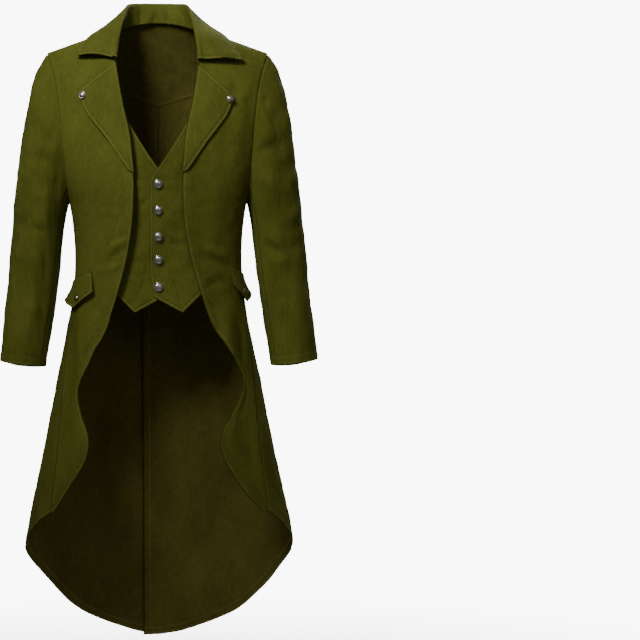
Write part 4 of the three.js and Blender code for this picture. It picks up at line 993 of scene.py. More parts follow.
def left_back(column, row):
    angle, drop = back_place(np.maximum(0, column), row)
    crest = back_crest(column)
    opened = np.clip((drop - VENT_DROP) / VENT_PRESSED_OVER, VENT_NARROWEST, 1)
    lapped_x = VENT_UNDERLAP * opened * column / UNDERLAP_COLUMN
    lapped = body_point(-1, angle_of(lapped_x, drop, True), drop, crest)
    point = np.where((column < 0)[..., None], lapped, body_point(1, angle, drop, crest))
    pressed = ease(drop, VENT_DROP - VENT_PRESSED_OVER, VENT_DROP)
    point[..., 1] -= VENT_STEP_IN * pressed * np.clip(1 - column / STEP_COLUMN, 0, 1)
    point[..., 1] -= UNDERLAP_HANGS_CLEAR * pressed * np.clip(column / UNDERLAP_COLUMN, 0, 1) ** 2
    return point


for name, back, first_column, first_edge, facing in (
    ("left", left_back, UNDERLAP_COLUMN, "underlap", 1),
    ("right", right_back, 0, "folded", -1),
):
    panel = cloth_shell(
        f"back_{name}",
        back,
        (first_column, 1),
        (0, LAST_BACK_ROW),
        facing,
        (("seam", first_edge, VENT_DROP), "seam", "seam", "hem"),
        COAT,
        relief=creased(BACK_CREASES),
        settled=lambda u, v: ease(u, *BACK_SETTLES),
        grain="centre",
        seed=21 + facing,
    )


def on_cloth(node, places):
    """Points on a shell's face at places given as (x, z)."""
    cloth = SHELLS[node]["outer"].reshape(-1, 3)
    off = SHELLS[node]["normal"].reshape(-1, 3) * STITCH_LIFT
    line = []
    for x, z in places:
        away = (cloth[:, 0] - x) ** 2 + (cloth[:, 2] - z) ** 2
        near = np.exp(-away / PATCH_REACH**2)
        line.append((x, (near @ (cloth + off) / near.sum())[1], z))
    return np.array(line)


hem_ends = (HEM_STITCH_STOPS, HEM_STITCH_STOPS)
tail_lines = [line_beside(f"back_{name}", 3, HEM_STITCH, hem_ends) for name in ("left", "right")]
inner_lines = [
    line_beside(f"back_{name}", 3, HEM_STITCH, hem_ends, on_reverse=True) for name in ("left", "right")
]
vent_ends = (VENT_STITCH_STARTS, HEM_STITCH)
inner_lines.append(line_beside("back_left", 0, HEM_STITCH, vent_ends, below=VENT_DROP, on_reverse=True))
for inset in (0, BAR_SECOND_ROW):
    left, right, top, foot = BAR_LEFT + inset, BAR_RIGHT - inset, BAR_TOP - inset, BAR_FOOT + inset
    corners = ((right, top), (left, top), (left, foot), (right, foot), (right, top))
    for (x0, z0), (x1, z1) in zip(corners, corners[1:]):
        share = np.linspace(0, 1, BAR_POINTS)
        tail_lines.append(on_cloth("back_right", list(zip(lerp(x0, x1, share), lerp(z0, z1, share)))))
sew("back_stitches", tail_lines)
sew("tail_hem_stitches", inner_lines, BOBBIN_COTTON)

# ---- Coat fronts ----
# A left and a right front, each cut in one from the shoulder down to its swallow-tail, whose edge
# rolls back under the lapel and then sweeps away to the side seam with a turned and stitched hem.
SIDES = (("left", 1), ("right", -1))
# Drop, and how far from the centre the free edge of the left and of the right front lies there.
FRONT_EDGE = np.array([
    (0.000, 0.0800, 0.0800), (0.033, 0.0830, 0.0835), (0.066, 0.0835, 0.0850), (0.150, 0.0700, 0.0710),
    (0.209, 0.0570, 0.0580), (0.275, 0.0510, 0.0510), (0.311, 0.0480, 0.0480), (0.393, 0.0520, 0.0520),
    (0.482, 0.0700, 0.0680), (0.583, 0.1040, 0.0990), (0.636, 0.1360, 0.1250), (0.690, 0.1670, 0.1490),
    (0.708, 0.1700, 0.1570), (0.722, 0.1680, 0.1610), (0.740, 0.1600, 0.1610), (0.770, 0.1430, 0.1540),
    (0.802, 0.1260, 0.1430), (0.828, 0.1220, 0.1400), (0.860, 0.1310, 0.1470), (0.888, 0.1470, 0.1630),
    (0.930, 0.1760, 0.1900), (0.966, 0.2090, 0.2120),
])
ROLL_END_DROP = 0.290
FRONT_CREASES = (
    (-1, -0.190, -0.545, -0.182, -0.760, 0.006, 0.014, -0.0066),
    (-1, -0.158, -0.560, -0.160, -0.700, 0.004, 0.012, 0.0036),
    (-1, -0.222, -0.800, -0.236, -0.940, 0.004, 0.014, 0.0032),
    (-1, 0.184, -0.560, 0.186, -0.760, -0.006, 0.014, -0.0054),
    (-1, 0.218, -0.790, 0.232, -0.940, -0.004, 0.014, 0.0030),
    (-1, -0.165, -0.150, -0.150, -0.330, -0.006, 0.016, 0.0024),
    (-1, 0.160, -0.140, 0.150, -0.300, 0.006, 0.016, 0.0024),
    (-1, -0.185, -0.076, -0.187, -0.120, 0.002, 0.010, 0.0022),
    (-1, -0.135, -0.164, -0.125, -0.274, 0.004, 0.018, -0.0022),
    (-1, -0.169, -0.304, -0.165, -0.414, 0.003, 0.012, 0.0022),
    (-1, -0.097, -0.438, -0.058, -0.419, 0.002, 0.0055, 0.0029),
    (-1, -0.095, -0.456, -0.058, -0.440, 0.002, 0.0060, -0.0025),
    (-1, -0.098, -0.477, -0.065, -0.466, -0.002, 0.0060, 0.0020),
    (-1, -0.125, -0.488, -0.083, -0.480, 0.002, 0.008, 0.0022),
    (-1, -0.145, -0.550, -0.131, -0.664, 0.004, 0.012, 0.0040),
    (-1, -0.103, -0.544, -0.119, -0.634, 0.003, 0.012, -0.0032),
    (-1, -0.180, -0.760, -0.195, -0.900, 0.004, 0.014, -0.0036),
    (-1, 0.157, -0.094, 0.145, -0.144, 0.002, 0.012, -0.0025),
    (-1, 0.137, -0.204, 0.129, -0.324, 0.004, 0.018, -0.0023),
    (-1, 0.173, -0.244, 0.167, -0.374, 0.003, 0.010, 0.0022),
    (-1, 0.091, -0.434, 0.133, -0.456, 0.002, 0.007, 0.0023),
    (-1, 0.080, -0.452, 0.145, -0.484, 0.004, 0.008, -0.0036),
    (-1, 0.092, -0.516, 0.137, -0.504, 0.002, 0.008, -0.0029),
    (-1, 0.131, -0.564, 0.143, -0.688, 0.004, 0.013, 0.0036),
    (-1, 0.105, -0.544, 0.122, -0.624, 0.003, 0.012, -0.0029),
    (-1, 0.184, -0.760, 0.198, -0.900, -0.004, 0.014, -0.0032),
)
# The free edge rolls forward below the lapel: height, reach, and where it starts and stops.
FRONT_ROLL, FRONT_ROLL_REACH, FRONT_ROLL_DROPS = 0.0055, 0.020, (0.270, 0.330, 0.500, 0.640)

front_edge_x = {1: smooth_curve(FRONT_EDGE, 1), -1: smooth_curve(FRONT_EDGE, 2)}


def front_surface(side):
    def at(share, drop):
        inner = angle_of(front_edge_x[side](drop), drop)
        outer = np.where(drop < ARMPIT_DROP, front_armhole_angle(drop), side_seam_angle(drop))
        return body_point(side, lerp(inner, outer, share), drop)

    return at


def front_relief(points, normal, share, drop):
    """Creases, and the roll of the free edge."""
    from_edge = running_length(points, 1) / FRONT_ROLL_REACH
    starts, full, fades, stops = FRONT_ROLL_DROPS
    along = ease(drop, starts, full) * ease(drop, stops, fades)
    return crease_heights(FRONT_CREASES, points, normal) + FRONT_ROLL * along * np.exp(-(from_edge**2))


for name, side in SIDES:
    panel = cloth_shell(
        f"front_{name}",
        front_surface(side),
        (0, 1),
        (armhole_front[0, 0], SIDE_SEAM_END),
        -side,
        (("folded", "hem", ROLL_END_DROP), "seam", "seam", "plain"),
        COAT,
        relief=front_relief,
        grain="centre",
        seed=31 + side,
    )
sew("front_stitches", [
    line_beside(f"front_{name}", 0, HEM_STITCH, (0, HEM_STITCH_STOPS), below=ROLL_END_DROP)
    for name in ("left", "right")
])

# ---- Waistcoat fronts ----
# Two short pointed fronts, sewn in under the coat's fronts along their outer edges. The left laps
# over the right where they button, and both stand a little clear of the coat at their free edges.
# The free edge and the sewn edge as drop and x, and the pointed hem as x and drop.
VEST_EDGE = np.array([
    (0.062, 0.106), (0.100, 0.101), (0.172, 0.066), (0.226, 0.035), (0.270, 0.006),
    (0.288, -0.008), (0.306, -0.015), (0.400, -0.0155), (0.500, -0.015), (0.540, -0.008),
])
VEST_SEWN_EDGE = np.array([(0.062, 0.132), (0.172, 0.134), (0.300, 0.138), (0.420, 0.134), (0.540, 0.132)])
VEST_HEM = np.array([(-0.015, 0.528), (0, 0.538), (0.049, 0.564), (0.084, 0.531), (0.132, 0.500)])
VEST_STAND_OFF, VEST_SEWN_OFF, VEST_LAP = 0.009, 0.0017, 0.003
VEST_TOP, VEST_SHAPED_FROM, VEST_END = 0.062, 0.400, 0.540
# Share across at which a front starts to close in on the coat; the least of its swells, at its two
# long edges, and where they grow from there.
VEST_CLOSES_FROM, VEST_LEAST_SWELLS = 0.35, 0.4
VEST_SWELLS_GROW, VEST_SWELLS_FADE = (0, 0.3), (1, 0.8)
VEST_CREASES = (
    (-1, 0.017, -0.462, 0.050, -0.556, 0.001, 0.0030, -0.0030),
    (-1, -0.022, -0.470, -0.044, -0.550, 0.002, 0.0040, -0.0014),
    (-1, 0.012, -0.318, 0.040, -0.345, 0.002, 0.008, -0.0019),
    (-1, 0.008, -0.368, 0.046, -0.395, 0.002, 0.009, 0.0016),
    (-1, 0.008, -0.420, 0.050, -0.432, -0.002, 0.009, -0.0016),
    (-1, -0.018, -0.330, -0.045, -0.362, 0.002, 0.008, -0.0016),
    (-1, -0.018, -0.440, -0.052, -0.455, 0.002, 0.009, 0.0016),
)
EDGE_STITCH = 0.0052
VEST_GRID = 0.0032
NUDGE = 0.001

vest_edge_x, vest_sewn_x = smooth_curve(VEST_EDGE, 1), smooth_curve(VEST_SEWN_EDGE, 1)


def on_front(side, x, z):
    """The body at a given x and height, for what lies on the coat's front."""
    drop = drop_of(shoulder_crest(np.abs(x)), z)
    return body_point(np.where(x == 0, side, np.sign(x)), angle_of(x, drop), drop)


def normal_of(surface, u, v, facing):
    """Which way a surface faces, from its slopes across and down."""
    over = surface(u + NUDGE, v) - surface(u - NUDGE, v)
    below = surface(u, v + NUDGE) - surface(u, v - NUDGE)
    return unit(np.cross(over, below)) * facing


def raised(surface, lift, facing):
    """A surface moved out along its own normal by lift(u, v)."""

    def at(u, v):
        return surface(u, v) + normal_of(surface, u, v, facing) * np.asarray(lift(u, v))[..., None]

    return at


def vest_surface(side):
    def on_coat(share, level):
        x = lerp(vest_edge_x(level), vest_sewn_x(level), share)
        shaped = ease(level, VEST_SHAPED_FROM, VEST_END)
        drop = level + (np.interp(x, VEST_HEM[:, 0], VEST_HEM[:, 1]) - VEST_END) * shaped
        return on_front(side, side * x, -drop)

    def behind(share, level):
        stand_off = VEST_STAND_OFF + (0 if side > 0 else VEST_LAP)
        return -(CLOTH + lerp(stand_off, VEST_SEWN_OFF, ease(share, VEST_CLOSES_FROM, 1)))

    return raised(on_coat, behind, -side)


def vest_settled(share, level):
    """How fully the waistcoat's cloth swells: least beside its free and its sewn edge."""
    inside = ease(share, *VEST_SWELLS_GROW) * ease(share, *VEST_SWELLS_FADE)
    return lerp(VEST_LEAST_SWELLS, 1, inside)


for name, side in SIDES:
    panel = cloth_shell(
        f"vest_{name}",
        vest_surface(side),
        (0, 1),
        (VEST_TOP, VEST_END),
        -side,
        ("stitched", "plain", "plain", "stitched"),
        COAT,
        relief=creased(VEST_CREASES),
        settled=vest_settled,
        spacing=VEST_GRID,
        grain="centre",
        seed=41 + side,
    )
sew("vest_stitches", [
    line_beside(f"vest_{name}", edge, EDGE_STITCH, (EDGE_STITCH, EDGE_STITCH))
    for name in ("left", "right")
    for edge in (0, 3)
])

# ---- Sleeves ----
# Each sleeve is a top and a narrower under piece of twill, seamed down the front and the back of
# the arm, eased into the armhole, and finished with a deep turned hem at the cuff.
# Ring, inner line (x, drop), outer line (x, drop), half depth, middle in y, and forward lean.
SLEEVE = np.array([
    (0, 0.1775, 0.351, 0.2210, 0.0508, 0.0600, 0.002, 0.00),
    (1, 0.1790, 0.355, 0.2430, 0.0880, 0.0640, 0.003, 0.00),
    (2, 0.1805, 0.360, 0.2560, 0.1300, 0.0670, 0.004, 0.00),
    (3, 0.1820, 0.367, 0.2680, 0.1950, 0.0690, 0.005, 0.00),
    (4, 0.1840, 0.376, 0.2780, 0.2650, 0.0690, 0.006, 0.00),
    (5, 0.1865, 0.390, 0.2860, 0.3350, 0.0670, 0.007, 0.00),
    (6, 0.1895, 0.414, 0.2930, 0.4000, 0.0640, 0.007, 0.02),
    (7, 0.1940, 0.454, 0.2980, 0.4480, 0.0610, 0.005, 0.04),
    (8, 0.1980, 0.492, 0.3015, 0.4880, 0.0580, 0.000, 0.07),
    (9, 0.2030, 0.530, 0.3045, 0.5260, 0.0555, -0.006, 0.09),
    (10, 0.2085, 0.567, 0.3080, 0.5620, 0.0530, -0.013, 0.11),
    (11, 0.2145, 0.604, 0.3115, 0.5980, 0.0510, -0.020, 0.12),
    (12, 0.2200, 0.640, 0.3150, 0.6310, 0.0495, -0.027, 0.12),
    (13, 0.2255, 0.676, 0.3180, 0.6650, 0.0485, -0.034, 0.12),
])
CUFF_RING, CUFF_SAG, SAGS_FROM_RING, CAP_FADES_AT = 13, 0.004, 11, 6
# Largest folds: side, degrees from the outer line (the front is below zero), ring, degrees across,
# rings along and depth.
SLEEVE_FOLDS = (
    (-1, -70, 3.6, 26, 0.9, -0.004),
    (-1, -112, 5.1, 24, 1.1, 0.005),
    (-1, -60, 9.2, 30, 1.3, -0.003),
    (-1, 80, 6.2, 28, 1.2, -0.004),
    (1, -58, 2.6, 24, 0.9, -0.004),
    (1, -96, 3.9, 26, 0.9, 0.004),
    (1, -128, 7.3, 24, 1.1, -0.005),
    (1, -70, 9.4, 30, 1.2, 0.004),
    (1, 84, 6.5, 28, 1.2, -0.004),
)
BACK_SEAM_ANGLE, FRONT_SEAM_ANGLE = {1: 108, -1: 90}, 144
SLEEVE_CREASES = (
    (-1, -0.262, -0.180, -0.214, -0.236, 0.006, 0.016, -0.0030),
    (-1, -0.276, -0.300, -0.236, -0.268, -0.004, 0.014, 0.0026),
    (-1, -0.290, -0.398, -0.246, -0.372, -0.004, 0.013, -0.0030),
    (-1, -0.292, -0.462, -0.262, -0.432, -0.003, 0.011, 0.0026),
    (-1, -0.268, -0.502, -0.300, -0.640, 0.006, 0.014, -0.0026),
    (-1, -0.246, -0.520, -0.268, -0.620, 0.004, 0.012, 0.0022),
    (-1, 0.254, -0.146, 0.222, -0.196, 0.006, 0.012, -0.0016),
    (-1, 0.280, -0.262, 0.238, -0.286, 0.004, 0.014, -0.0028),
    (-1, 0.286, -0.352, 0.238, -0.392, 0.004, 0.014, 0.0028),
    (-1, 0.292, -0.420, 0.256, -0.446, 0.004, 0.011, -0.0034),
    (-1, 0.272, -0.500, 0.298, -0.632, -0.006, 0.014, 0.0026),
    (-1, 0.244, -0.560, 0.262, -0.640, -0.004, 0.012, -0.0024),
    (-1, -0.2355, -0.254, -0.192, -0.2945, 0.004, 0.012, -0.0040),
    (-1, -0.247, -0.327, -0.202, -0.357, 0.004, 0.012, 0.0026),
    (-1, -0.263, -0.398, -0.222, -0.412, 0.003, 0.010, -0.0035),
    (-1, -0.257, -0.449, -0.230, -0.473, 0.003, 0.010, 0.0026),
    (-1, -0.283, -0.550, -0.232, -0.571, 0.003, 0.012, 0.0022),
    (-1, -0.222, -0.0935, -0.214, -0.1646, 0.002, 0.008, -0.0026),
    (1, -0.221, -0.0935, -0.241, -0.104, 0.002, 0.007, 0.0035),
    (1, -0.190, -0.185, -0.233, -0.246, 0.004, 0.012, -0.0035),
    (1, -0.210, -0.347, -0.252, -0.398, 0.004, 0.012, -0.0040),
    (1, -0.221, -0.418, -0.266, -0.438, 0.003, 0.010, 0.0031),
    (1, -0.225, -0.473, -0.272, -0.485, 0.003, 0.010, -0.0026),
    (-1, 0.198, -0.250, 0.253, -0.232, 0.004, 0.012, -0.0040),
    (-1, 0.212, -0.1605, 0.220, -0.134, 0.002, 0.008, -0.0033),
    (-1, 0.194, -0.2966, 0.2446, -0.327, 0.004, 0.014, 0.0029),
    (-1, 0.208, -0.4285, 0.2365, -0.451, 0.003, 0.009, -0.0044),
    (-1, 0.216, -0.473, 0.265, -0.465, 0.003, 0.010, 0.0029),
    (-1, 0.228, -0.546, 0.269, -0.534, 0.003, 0.011, -0.0022),
    (1, 0.195, -0.252, 0.231, -0.317, 0.004, 0.012, -0.0040),
    (1, 0.190, -0.335, 0.228, -0.356, 0.003, 0.012, 0.0029),
    (1, 0.225, -0.418, 0.266, -0.4385, 0.003, 0.011, -0.0035),
    (1, 0.233, -0.473, 0.276, -0.473, 0.003, 0.010, 0.0029),
)
# The cap's puckers: their height, how far apart they are, and how far down they reach.
SLEEVE_EASE = (0.0005, 0.019, 0.014)
# How far a sleeve's upper edge is turned in under the armhole's edge, and how far towards the
# armhole's middle, and over how much of a ring.
TURNED_UNDER, TURNED_DOWN, TURN_ENDS_AT = 0.0062, 0.0024, 0.16
ARMHOLE_MIDDLE = np.array([0, 0, -0.19])
CUFF_STITCH = 0.0180

in_x, in_drop, out_x, out_drop, half_depth, middle_y, forward_lean = (
    smooth_curve(SLEEVE, column) for column in range(1, 8)
)


def armhole_point(side, degrees):
    drop, angle, crest = armhole_row(np.abs(degrees), degrees > 0)
    return body_point(side, angle, drop, crest)


def sleeve_tube(side, ring, degrees):
    turn = np.radians(degrees)
    share = (1 + np.cos(turn)) / 2
    fold = 0
    for fold_side, angle, middle, across, along, depth in SLEEVE_FOLDS:
        bell = np.exp(-(((degrees - angle) / across) ** 2) - ((ring - middle) / along) ** 2)
        fold = fold + depth * (fold_side == side) * bell
    reach = (half_depth(ring) + fold) * np.sin(turn)
    sag = CUFF_SAG * np.sin(turn) ** 2 * ease(ring, SAGS_FROM_RING, CUFF_RING)
    height = -lerp(in_drop(ring), out_drop(ring), share) - reach * forward_lean(ring) - sag
    return points_of(side * lerp(in_x(ring), out_x(ring), share), middle_y(ring) + reach, height)


def sleeve_surface(side):
    """A sleeve's cloth by degrees from its outer line and ring down the arm."""

    def at(degrees, ring):
        turned = np.where(degrees > 180, degrees - 360, degrees)
        cap = armhole_point(side, turned) - sleeve_tube(side, 0, turned)
        fade = (1 - ease(ring, 0, CAP_FADES_AT)) ** 2
        cloth = sleeve_tube(side, ring, turned) + cap * fade[..., None]
        down = unit((ARMHOLE_MIDDLE - cloth) * np.array([0, 1, 1]))
        turn = TURNED_DOWN * down - np.array([side * TURNED_UNDER, 0, 0])
        return cloth + turn * (1 - ease(ring, 0, TURN_ENDS_AT))[..., None]

    return at


def sleeve_relief(points, normal, degrees, ring):
    """Creases, and the small puckers where the cap is eased into the armhole."""
    height, wave, reach = SLEEVE_EASE
    below = running_length(points, 0)
    pucker = np.sin(running_length(points, 1) * (2 * math.pi / wave)) * np.exp(-below / reach)
    return crease_heights(SLEEVE_CREASES, points, normal) + height * pucker


for name, side in SIDES:
    back_seam = BACK_SEAM_ANGLE[side]
    spans = {"top": (-FRONT_SEAM_ANGLE, back_seam), "under": (back_seam, 360 - FRONT_SEAM_ANGLE)}
    for part, span in spans.items():
        panel = cloth_shell(
            f"sleeve_{name}_{part}",
            sleeve_surface(side),
            span,
            (0, CUFF_RING),
            -side,
            ("seam", "seam", "seam", "cuff"),
            COAT,
            relief=sleeve_relief,
            seed=51 + side,
        )
sew("cuff_stitches", [
    line_beside(f"sleeve_{name}_{part}", 3, CUFF_STITCH)
    for name in ("left", "right")
    for part in ("top", "under")
])

# ---- Cuff plackets ----
# A doubled strip of pressed twill beside the back seam of each cuff, edge-stitched up both sides and
# across its top, with its foot folded under just above the cuff's edge.
PLACKET_WIDTH, PLACKET_FROM_SEAM, PLACKET_TOP_RING, PLACKET_HEM_GAP = 29, 3, 9.2, 0.012
REST_GAP = 0.0006
FINE_GRID = 0.0034


def cuff_surface(side):
    return raised(sleeve_surface(side), lambda degrees, ring: DOUBLED_CLOTH + REST_GAP, -side)


for name, side in SIDES:
    placket_end = BACK_SEAM_ANGLE[side] - PLACKET_FROM_SEAM
    placket = cloth_shell(
        f"cuff_placket_{name}",
        cuff_surface(side),
        (placket_end - PLACKET_WIDTH, placket_end),
        (PLACKET_TOP_RING, CUFF_RING - PLACKET_HEM_GAP),
        -side,
        ("stitched", "stitched", "stitched", "folded"),
        PRESSED,
        spacing=FINE_GRID,
        seed=61 + side,
    )
    sew(f"placket_stitches_{name}", [
        line_beside(f"cuff_placket_{name}", 0, EDGE_STITCH, (EDGE_STITCH, 0)),
        line_beside(f"cuff_placket_{name}", 1, EDGE_STITCH, (EDGE_STITCH, 0)),
        line_beside(f"cuff_placket_{name}", 2, EDGE_STITCH, (EDGE_STITCH, EDGE_STITCH)),
    ])

# ---- Collar ----
# A turn-down collar of doubled twill: the stand rises from the neckline, rolls over a soft fold, and
# the fall lies over the yoke and runs out into two points above the lapels.
# Station from the centre back (0) to the gorge (1), fold (x, y, z), fall's edge (x, y, z), and bulge.
COLLAR = (
    (0.00, 0.0000, 0.0750, 0.0445, 0.0000, 0.0880, 0.0205, 0.002),
    (0.17, 0.0390, 0.0670, 0.0445, 0.0540, 0.0790, 0.0095, 0.003),
    (0.33, 0.0600, 0.0430, 0.0420, 0.0840, 0.0570, 0.0005, 0.004),
    (0.50, 0.0700, 0.0070, 0.0210, 0.1150, 0.0160, -0.0080, 0.004),
    (0.63, 0.0760, -0.0160, 0.0020, 0.1310, -0.0040, -0.0165, 0.005),
    (0.80, 0.0820, -0.0420, -0.0260, 0.1490, -0.0250, -0.0350, 0.007),
)
COLLAR_ENDS = {
    1: (1, 0.0845, -0.0655, -0.0630, 0.1690, -0.0420, -0.0660, 0.008),
    -1: (1, 0.0860, -0.0640, -0.0600, 0.1595, -0.0410, -0.0570, 0.008),
}
COLLAR_FOLD_RADIUS, COLLAR_FRONT_CLEARANCE, COLLAR_NECK_SIDE, GORGE_DROP = 0.0032, 0.0022, 0.5, 0.064
COLLAR_CLEARS_FROM, COLLAR_FACES_FORWARD_AT, COLLAR_LEANS = 0.38, 0.8, 0.4
STAND_HOLLOW = 0.0008
STAND_TUCK_DOWN, STAND_TUCK_IN, STAND_TUCK_ENDS = 0.0050, 0.0032, (0.44, 0.36)
BULGE_OUT, BULGE_UP = 0.4, 0.9
# Shares of the fall at which its section has a point, and how much of the bulge each has.
FALL_POINTS = ((0.33, 1), (0.67, 0.9))
COLLAR_CREASES = (
    (-1, 0.020, 0.034, 0.019, 0.006, 0.001, 0.004, -0.0028),
    (-1, 0.044, 0.034, 0.040, 0.004, 0.002, 0.004, 0.0028),
    (-1, -0.014, 0.034, -0.018, 0.006, 0.001, 0.005, 0.0024),
    (-1, -0.036, 0.034, -0.034, 0.004, 0.001, 0.005, -0.0028),
)
STAND_HEIGHT = 0.012
# How gently the fall's edge rounds the centre back.
FALL_ROUNDING = 0.05

collar_columns = {
    side: [smooth_curve(np.array([*COLLAR, end]), column) for column in range(1, 8)]
    for side, end in COLLAR_ENDS.items()
}


def collar_foot(side, at):
    """Where the stand rises: along the neckline, then down the front edge to the gorge."""
    clears = ease(at, COLLAR_CLEARS_FROM, COLLAR_NECK_SIDE)
    rise = lerp(REST_GAP, COLLAR_FRONT_CLEARANCE, clears)[..., None]
    crest = back_crest(np.minimum(at / COLLAR_NECK_SIDE, 1) * NECK_SHARE)
    tuck = ease(at, *STAND_TUCK_ENDS)[..., None]
    inward = unit(points_of(-crest[..., 0], NECK_SIDE_Y - crest[..., 1], 0))
    tucked = tuck * (inward * STAND_TUCK_IN - [0, 0, STAND_TUCK_DOWN])
    behind = (crest + tucked) * [side, 1, 1] + rise * [0, 0, 1]
    drop = np.maximum(0, GORGE_DROP * (at - COLLAR_NECK_SIDE) / (1 - COLLAR_NECK_SIDE))
    before = body_point(side, angle_of(front_edge_x[side](drop), drop), drop)
    forward = ease(at, COLLAR_NECK_SIDE, COLLAR_FACES_FORWARD_AT)
    upward = 1 - COLLAR_LEANS * ease(at, COLLAR_NECK_SIDE, 1)
    before = before + unit(points_of(0, -forward, upward)) * rise
    return np.where((at <= COLLAR_NECK_SIDE)[..., None], behind, before)


def collar_section(side, at):
    """Eight points of the collar's section, from the stand's foot over the fold to the edge."""
    rounded = at * at * (1 + FALL_ROUNDING) / (at + FALL_ROUNDING)
    fold_x, fold_y, fold_z, edge_x = (column(at) for column in collar_columns[side][:4])
    edge_y, edge_z, bulge = (column(rounded) for column in collar_columns[side][4:])
    foot = collar_foot(side, at)
    fold, edge = points_of(side * fold_x, fold_y, fold_z), points_of(side * edge_x, edge_y, edge_z)
    up = unit(fold - foot)
    fall = edge - fold
    out = unit(fall - up * np.sum(fall * up, axis=-1, keepdims=True))
    away = unit(out * BULGE_OUT + up * BULGE_UP) * bulge[..., None]
    stand_top, fall_top = fold - out * COLLAR_FOLD_RADIUS, fold + out * COLLAR_FOLD_RADIUS
    return np.stack([
        foot,
        (foot + stand_top) / 2 - out * STAND_HOLLOW,
        stand_top,
        fold + up * COLLAR_FOLD_RADIUS,
        fall_top,
        *(lerp(fall_top, edge, share) + away * bulges for share, bulges in FALL_POINTS),
        edge,
    ], axis=-2)


def collar_surface(share, station):
    """The collar by share of its section and station, rounded through the section's points."""
    side_sections = [collar_section(side, np.abs(station)) for side in (-1, 1)]
    section = np.where((station < 0)[..., None, None], *side_sections)
    keys = np.cumsum(np.linalg.norm(np.diff(section, axis=-2), axis=-1), axis=-1)
    keys = np.concatenate([np.zeros_like(keys[..., :1]), keys], axis=-1)
    keys = keys / keys[..., -1:]
    slopes = np.empty_like(section)
    over_two = (keys[..., 2:] - keys[..., :-2])[..., None]
    slopes[..., 1:-1, :] = (section[..., 2:, :] - section[..., :-2, :]) / over_two
    slopes[..., 0, :] = (section[..., 1, :] - section[..., 0, :]) / keys[..., 1:2]
    slopes[..., -1, :] = (section[..., -1, :] - section[..., -2, :]) / (1 - keys[..., -2:-1])
    last_row = section.shape[-2] - 2
    row = np.clip(np.sum(share[..., None] >= keys[..., 1:-1], axis=-1), 0, last_row)[..., None]
    start, end = (np.take_along_axis(keys, row + k, -1) for k in (0, 1))
    span = end - start
    t = (share[..., None] - start) / span
    corner = [np.take_along_axis(section, row[..., None] + k, -2)[..., 0, :] for k in (0, 1)]
    slope = [np.take_along_axis(slopes, row[..., None] + k, -2)[..., 0, :] for k in (0, 1)]
    ends = corner[0] * (1 + 2 * t) * (1 - t) ** 2 + corner[1] * t * t * (3 - 2 * t)
    return ends + span * (slope[0] * t * (1 - t) ** 2 - slope[1] * t * t * (1 - t))


collar = cloth_shell(
    "collar",
    raised(collar_surface, lambda share, station: DOUBLED_CLOTH, -1),
    (0, 1),
    (-1, 1),
    -1,
    ("plain", "stitched", "stitched", "stitched"),
    PRESSED,
    relief=creased(COLLAR_CREASES),
    spacing=FINE_GRID,
    seed=71,
)
sew("collar_stitches", [
    line_beside("collar", 1, EDGE_STITCH, (EDGE_STITCH, EDGE_STITCH)),
    line_beside("collar", 2, EDGE_STITCH, (STAND_HEIGHT, EDGE_STITCH)),
    line_beside("collar", 3, EDGE_STITCH, (STAND_HEIGHT, EDGE_STITCH)),
])

# ---- Lapels ----
# Each lapel is doubled twill rolled back from the front edge and pressed flat towards its point,
# with a stitched edge; a stud holds the point down on the coat.
# Share from the gorge (0) to the end of the roll (1), then x and drop of the left and right edge.
LAPEL_EDGE = np.array([
    (0.00, 0.148, 0.138, 0.155, 0.130),
    (0.14, 0.143, 0.156, 0.148, 0.150),
    (0.30, 0.134, 0.176, 0.137, 0.172),
    (0.50, 0.117, 0.199, 0.118, 0.197),
    (0.70, 0.097, 0.225, 0.097, 0.224),
    (0.86, 0.078, 0.252, 0.078, 0.252),
    (1.00, 0.058, 0.281, 0.058, 0.281),
])
LAPEL_GORGE_DROP = {1: 0.076, -1: 0.070}
LAPEL_ROLL_END, LAPEL_OVERHANG, LAPEL_LIFT, LAPEL_TIP_LIFT = 0.287, 0.0024, 0.0034, 0.0036
# How far the tip's lift bows over across the lapel, and how fast it dies away down the roll.
LAPEL_BOW, LAPEL_BOW_FADES = 1.9, 0.7
LAPEL_STITCH_STOPS, GORGE_STITCH_STARTS = 0.001, 0.004
LAPEL_CREASES = (
    (-1, 0.100, -0.120, 0.075, -0.190, 0.004, 0.014, 0.0015),
    (-1, -0.096, -0.120, -0.078, -0.200, 0.004, 0.014, 0.0015),
    (-1, -0.120, -0.140, -0.100, -0.185, 0.003, 0.010, -0.0012),
)


def lapel_surface(side):
    edge_x = smooth_curve(LAPEL_EDGE, 1 if side > 0 else 3)
    edge_drop = smooth_curve(LAPEL_EDGE, 2 if side > 0 else 4)

    def on_coat(share, at):
        roll_drop = lerp(LAPEL_GORGE_DROP[side], LAPEL_ROLL_END, at)
        roll_x = front_edge_x[side](roll_drop) - LAPEL_OVERHANG
        x, drop = lerp(roll_x, edge_x(at), share), lerp(roll_drop, edge_drop(at), share)
        return on_front(side, side * x, -drop)

    def lift(share, at):
        bow = np.sin(share * LAPEL_BOW) * np.maximum(0, 1 - at) ** LAPEL_BOW_FADES
        return LAPEL_LIFT + LAPEL_TIP_LIFT * bow

    return raised(on_coat, lift, -side)


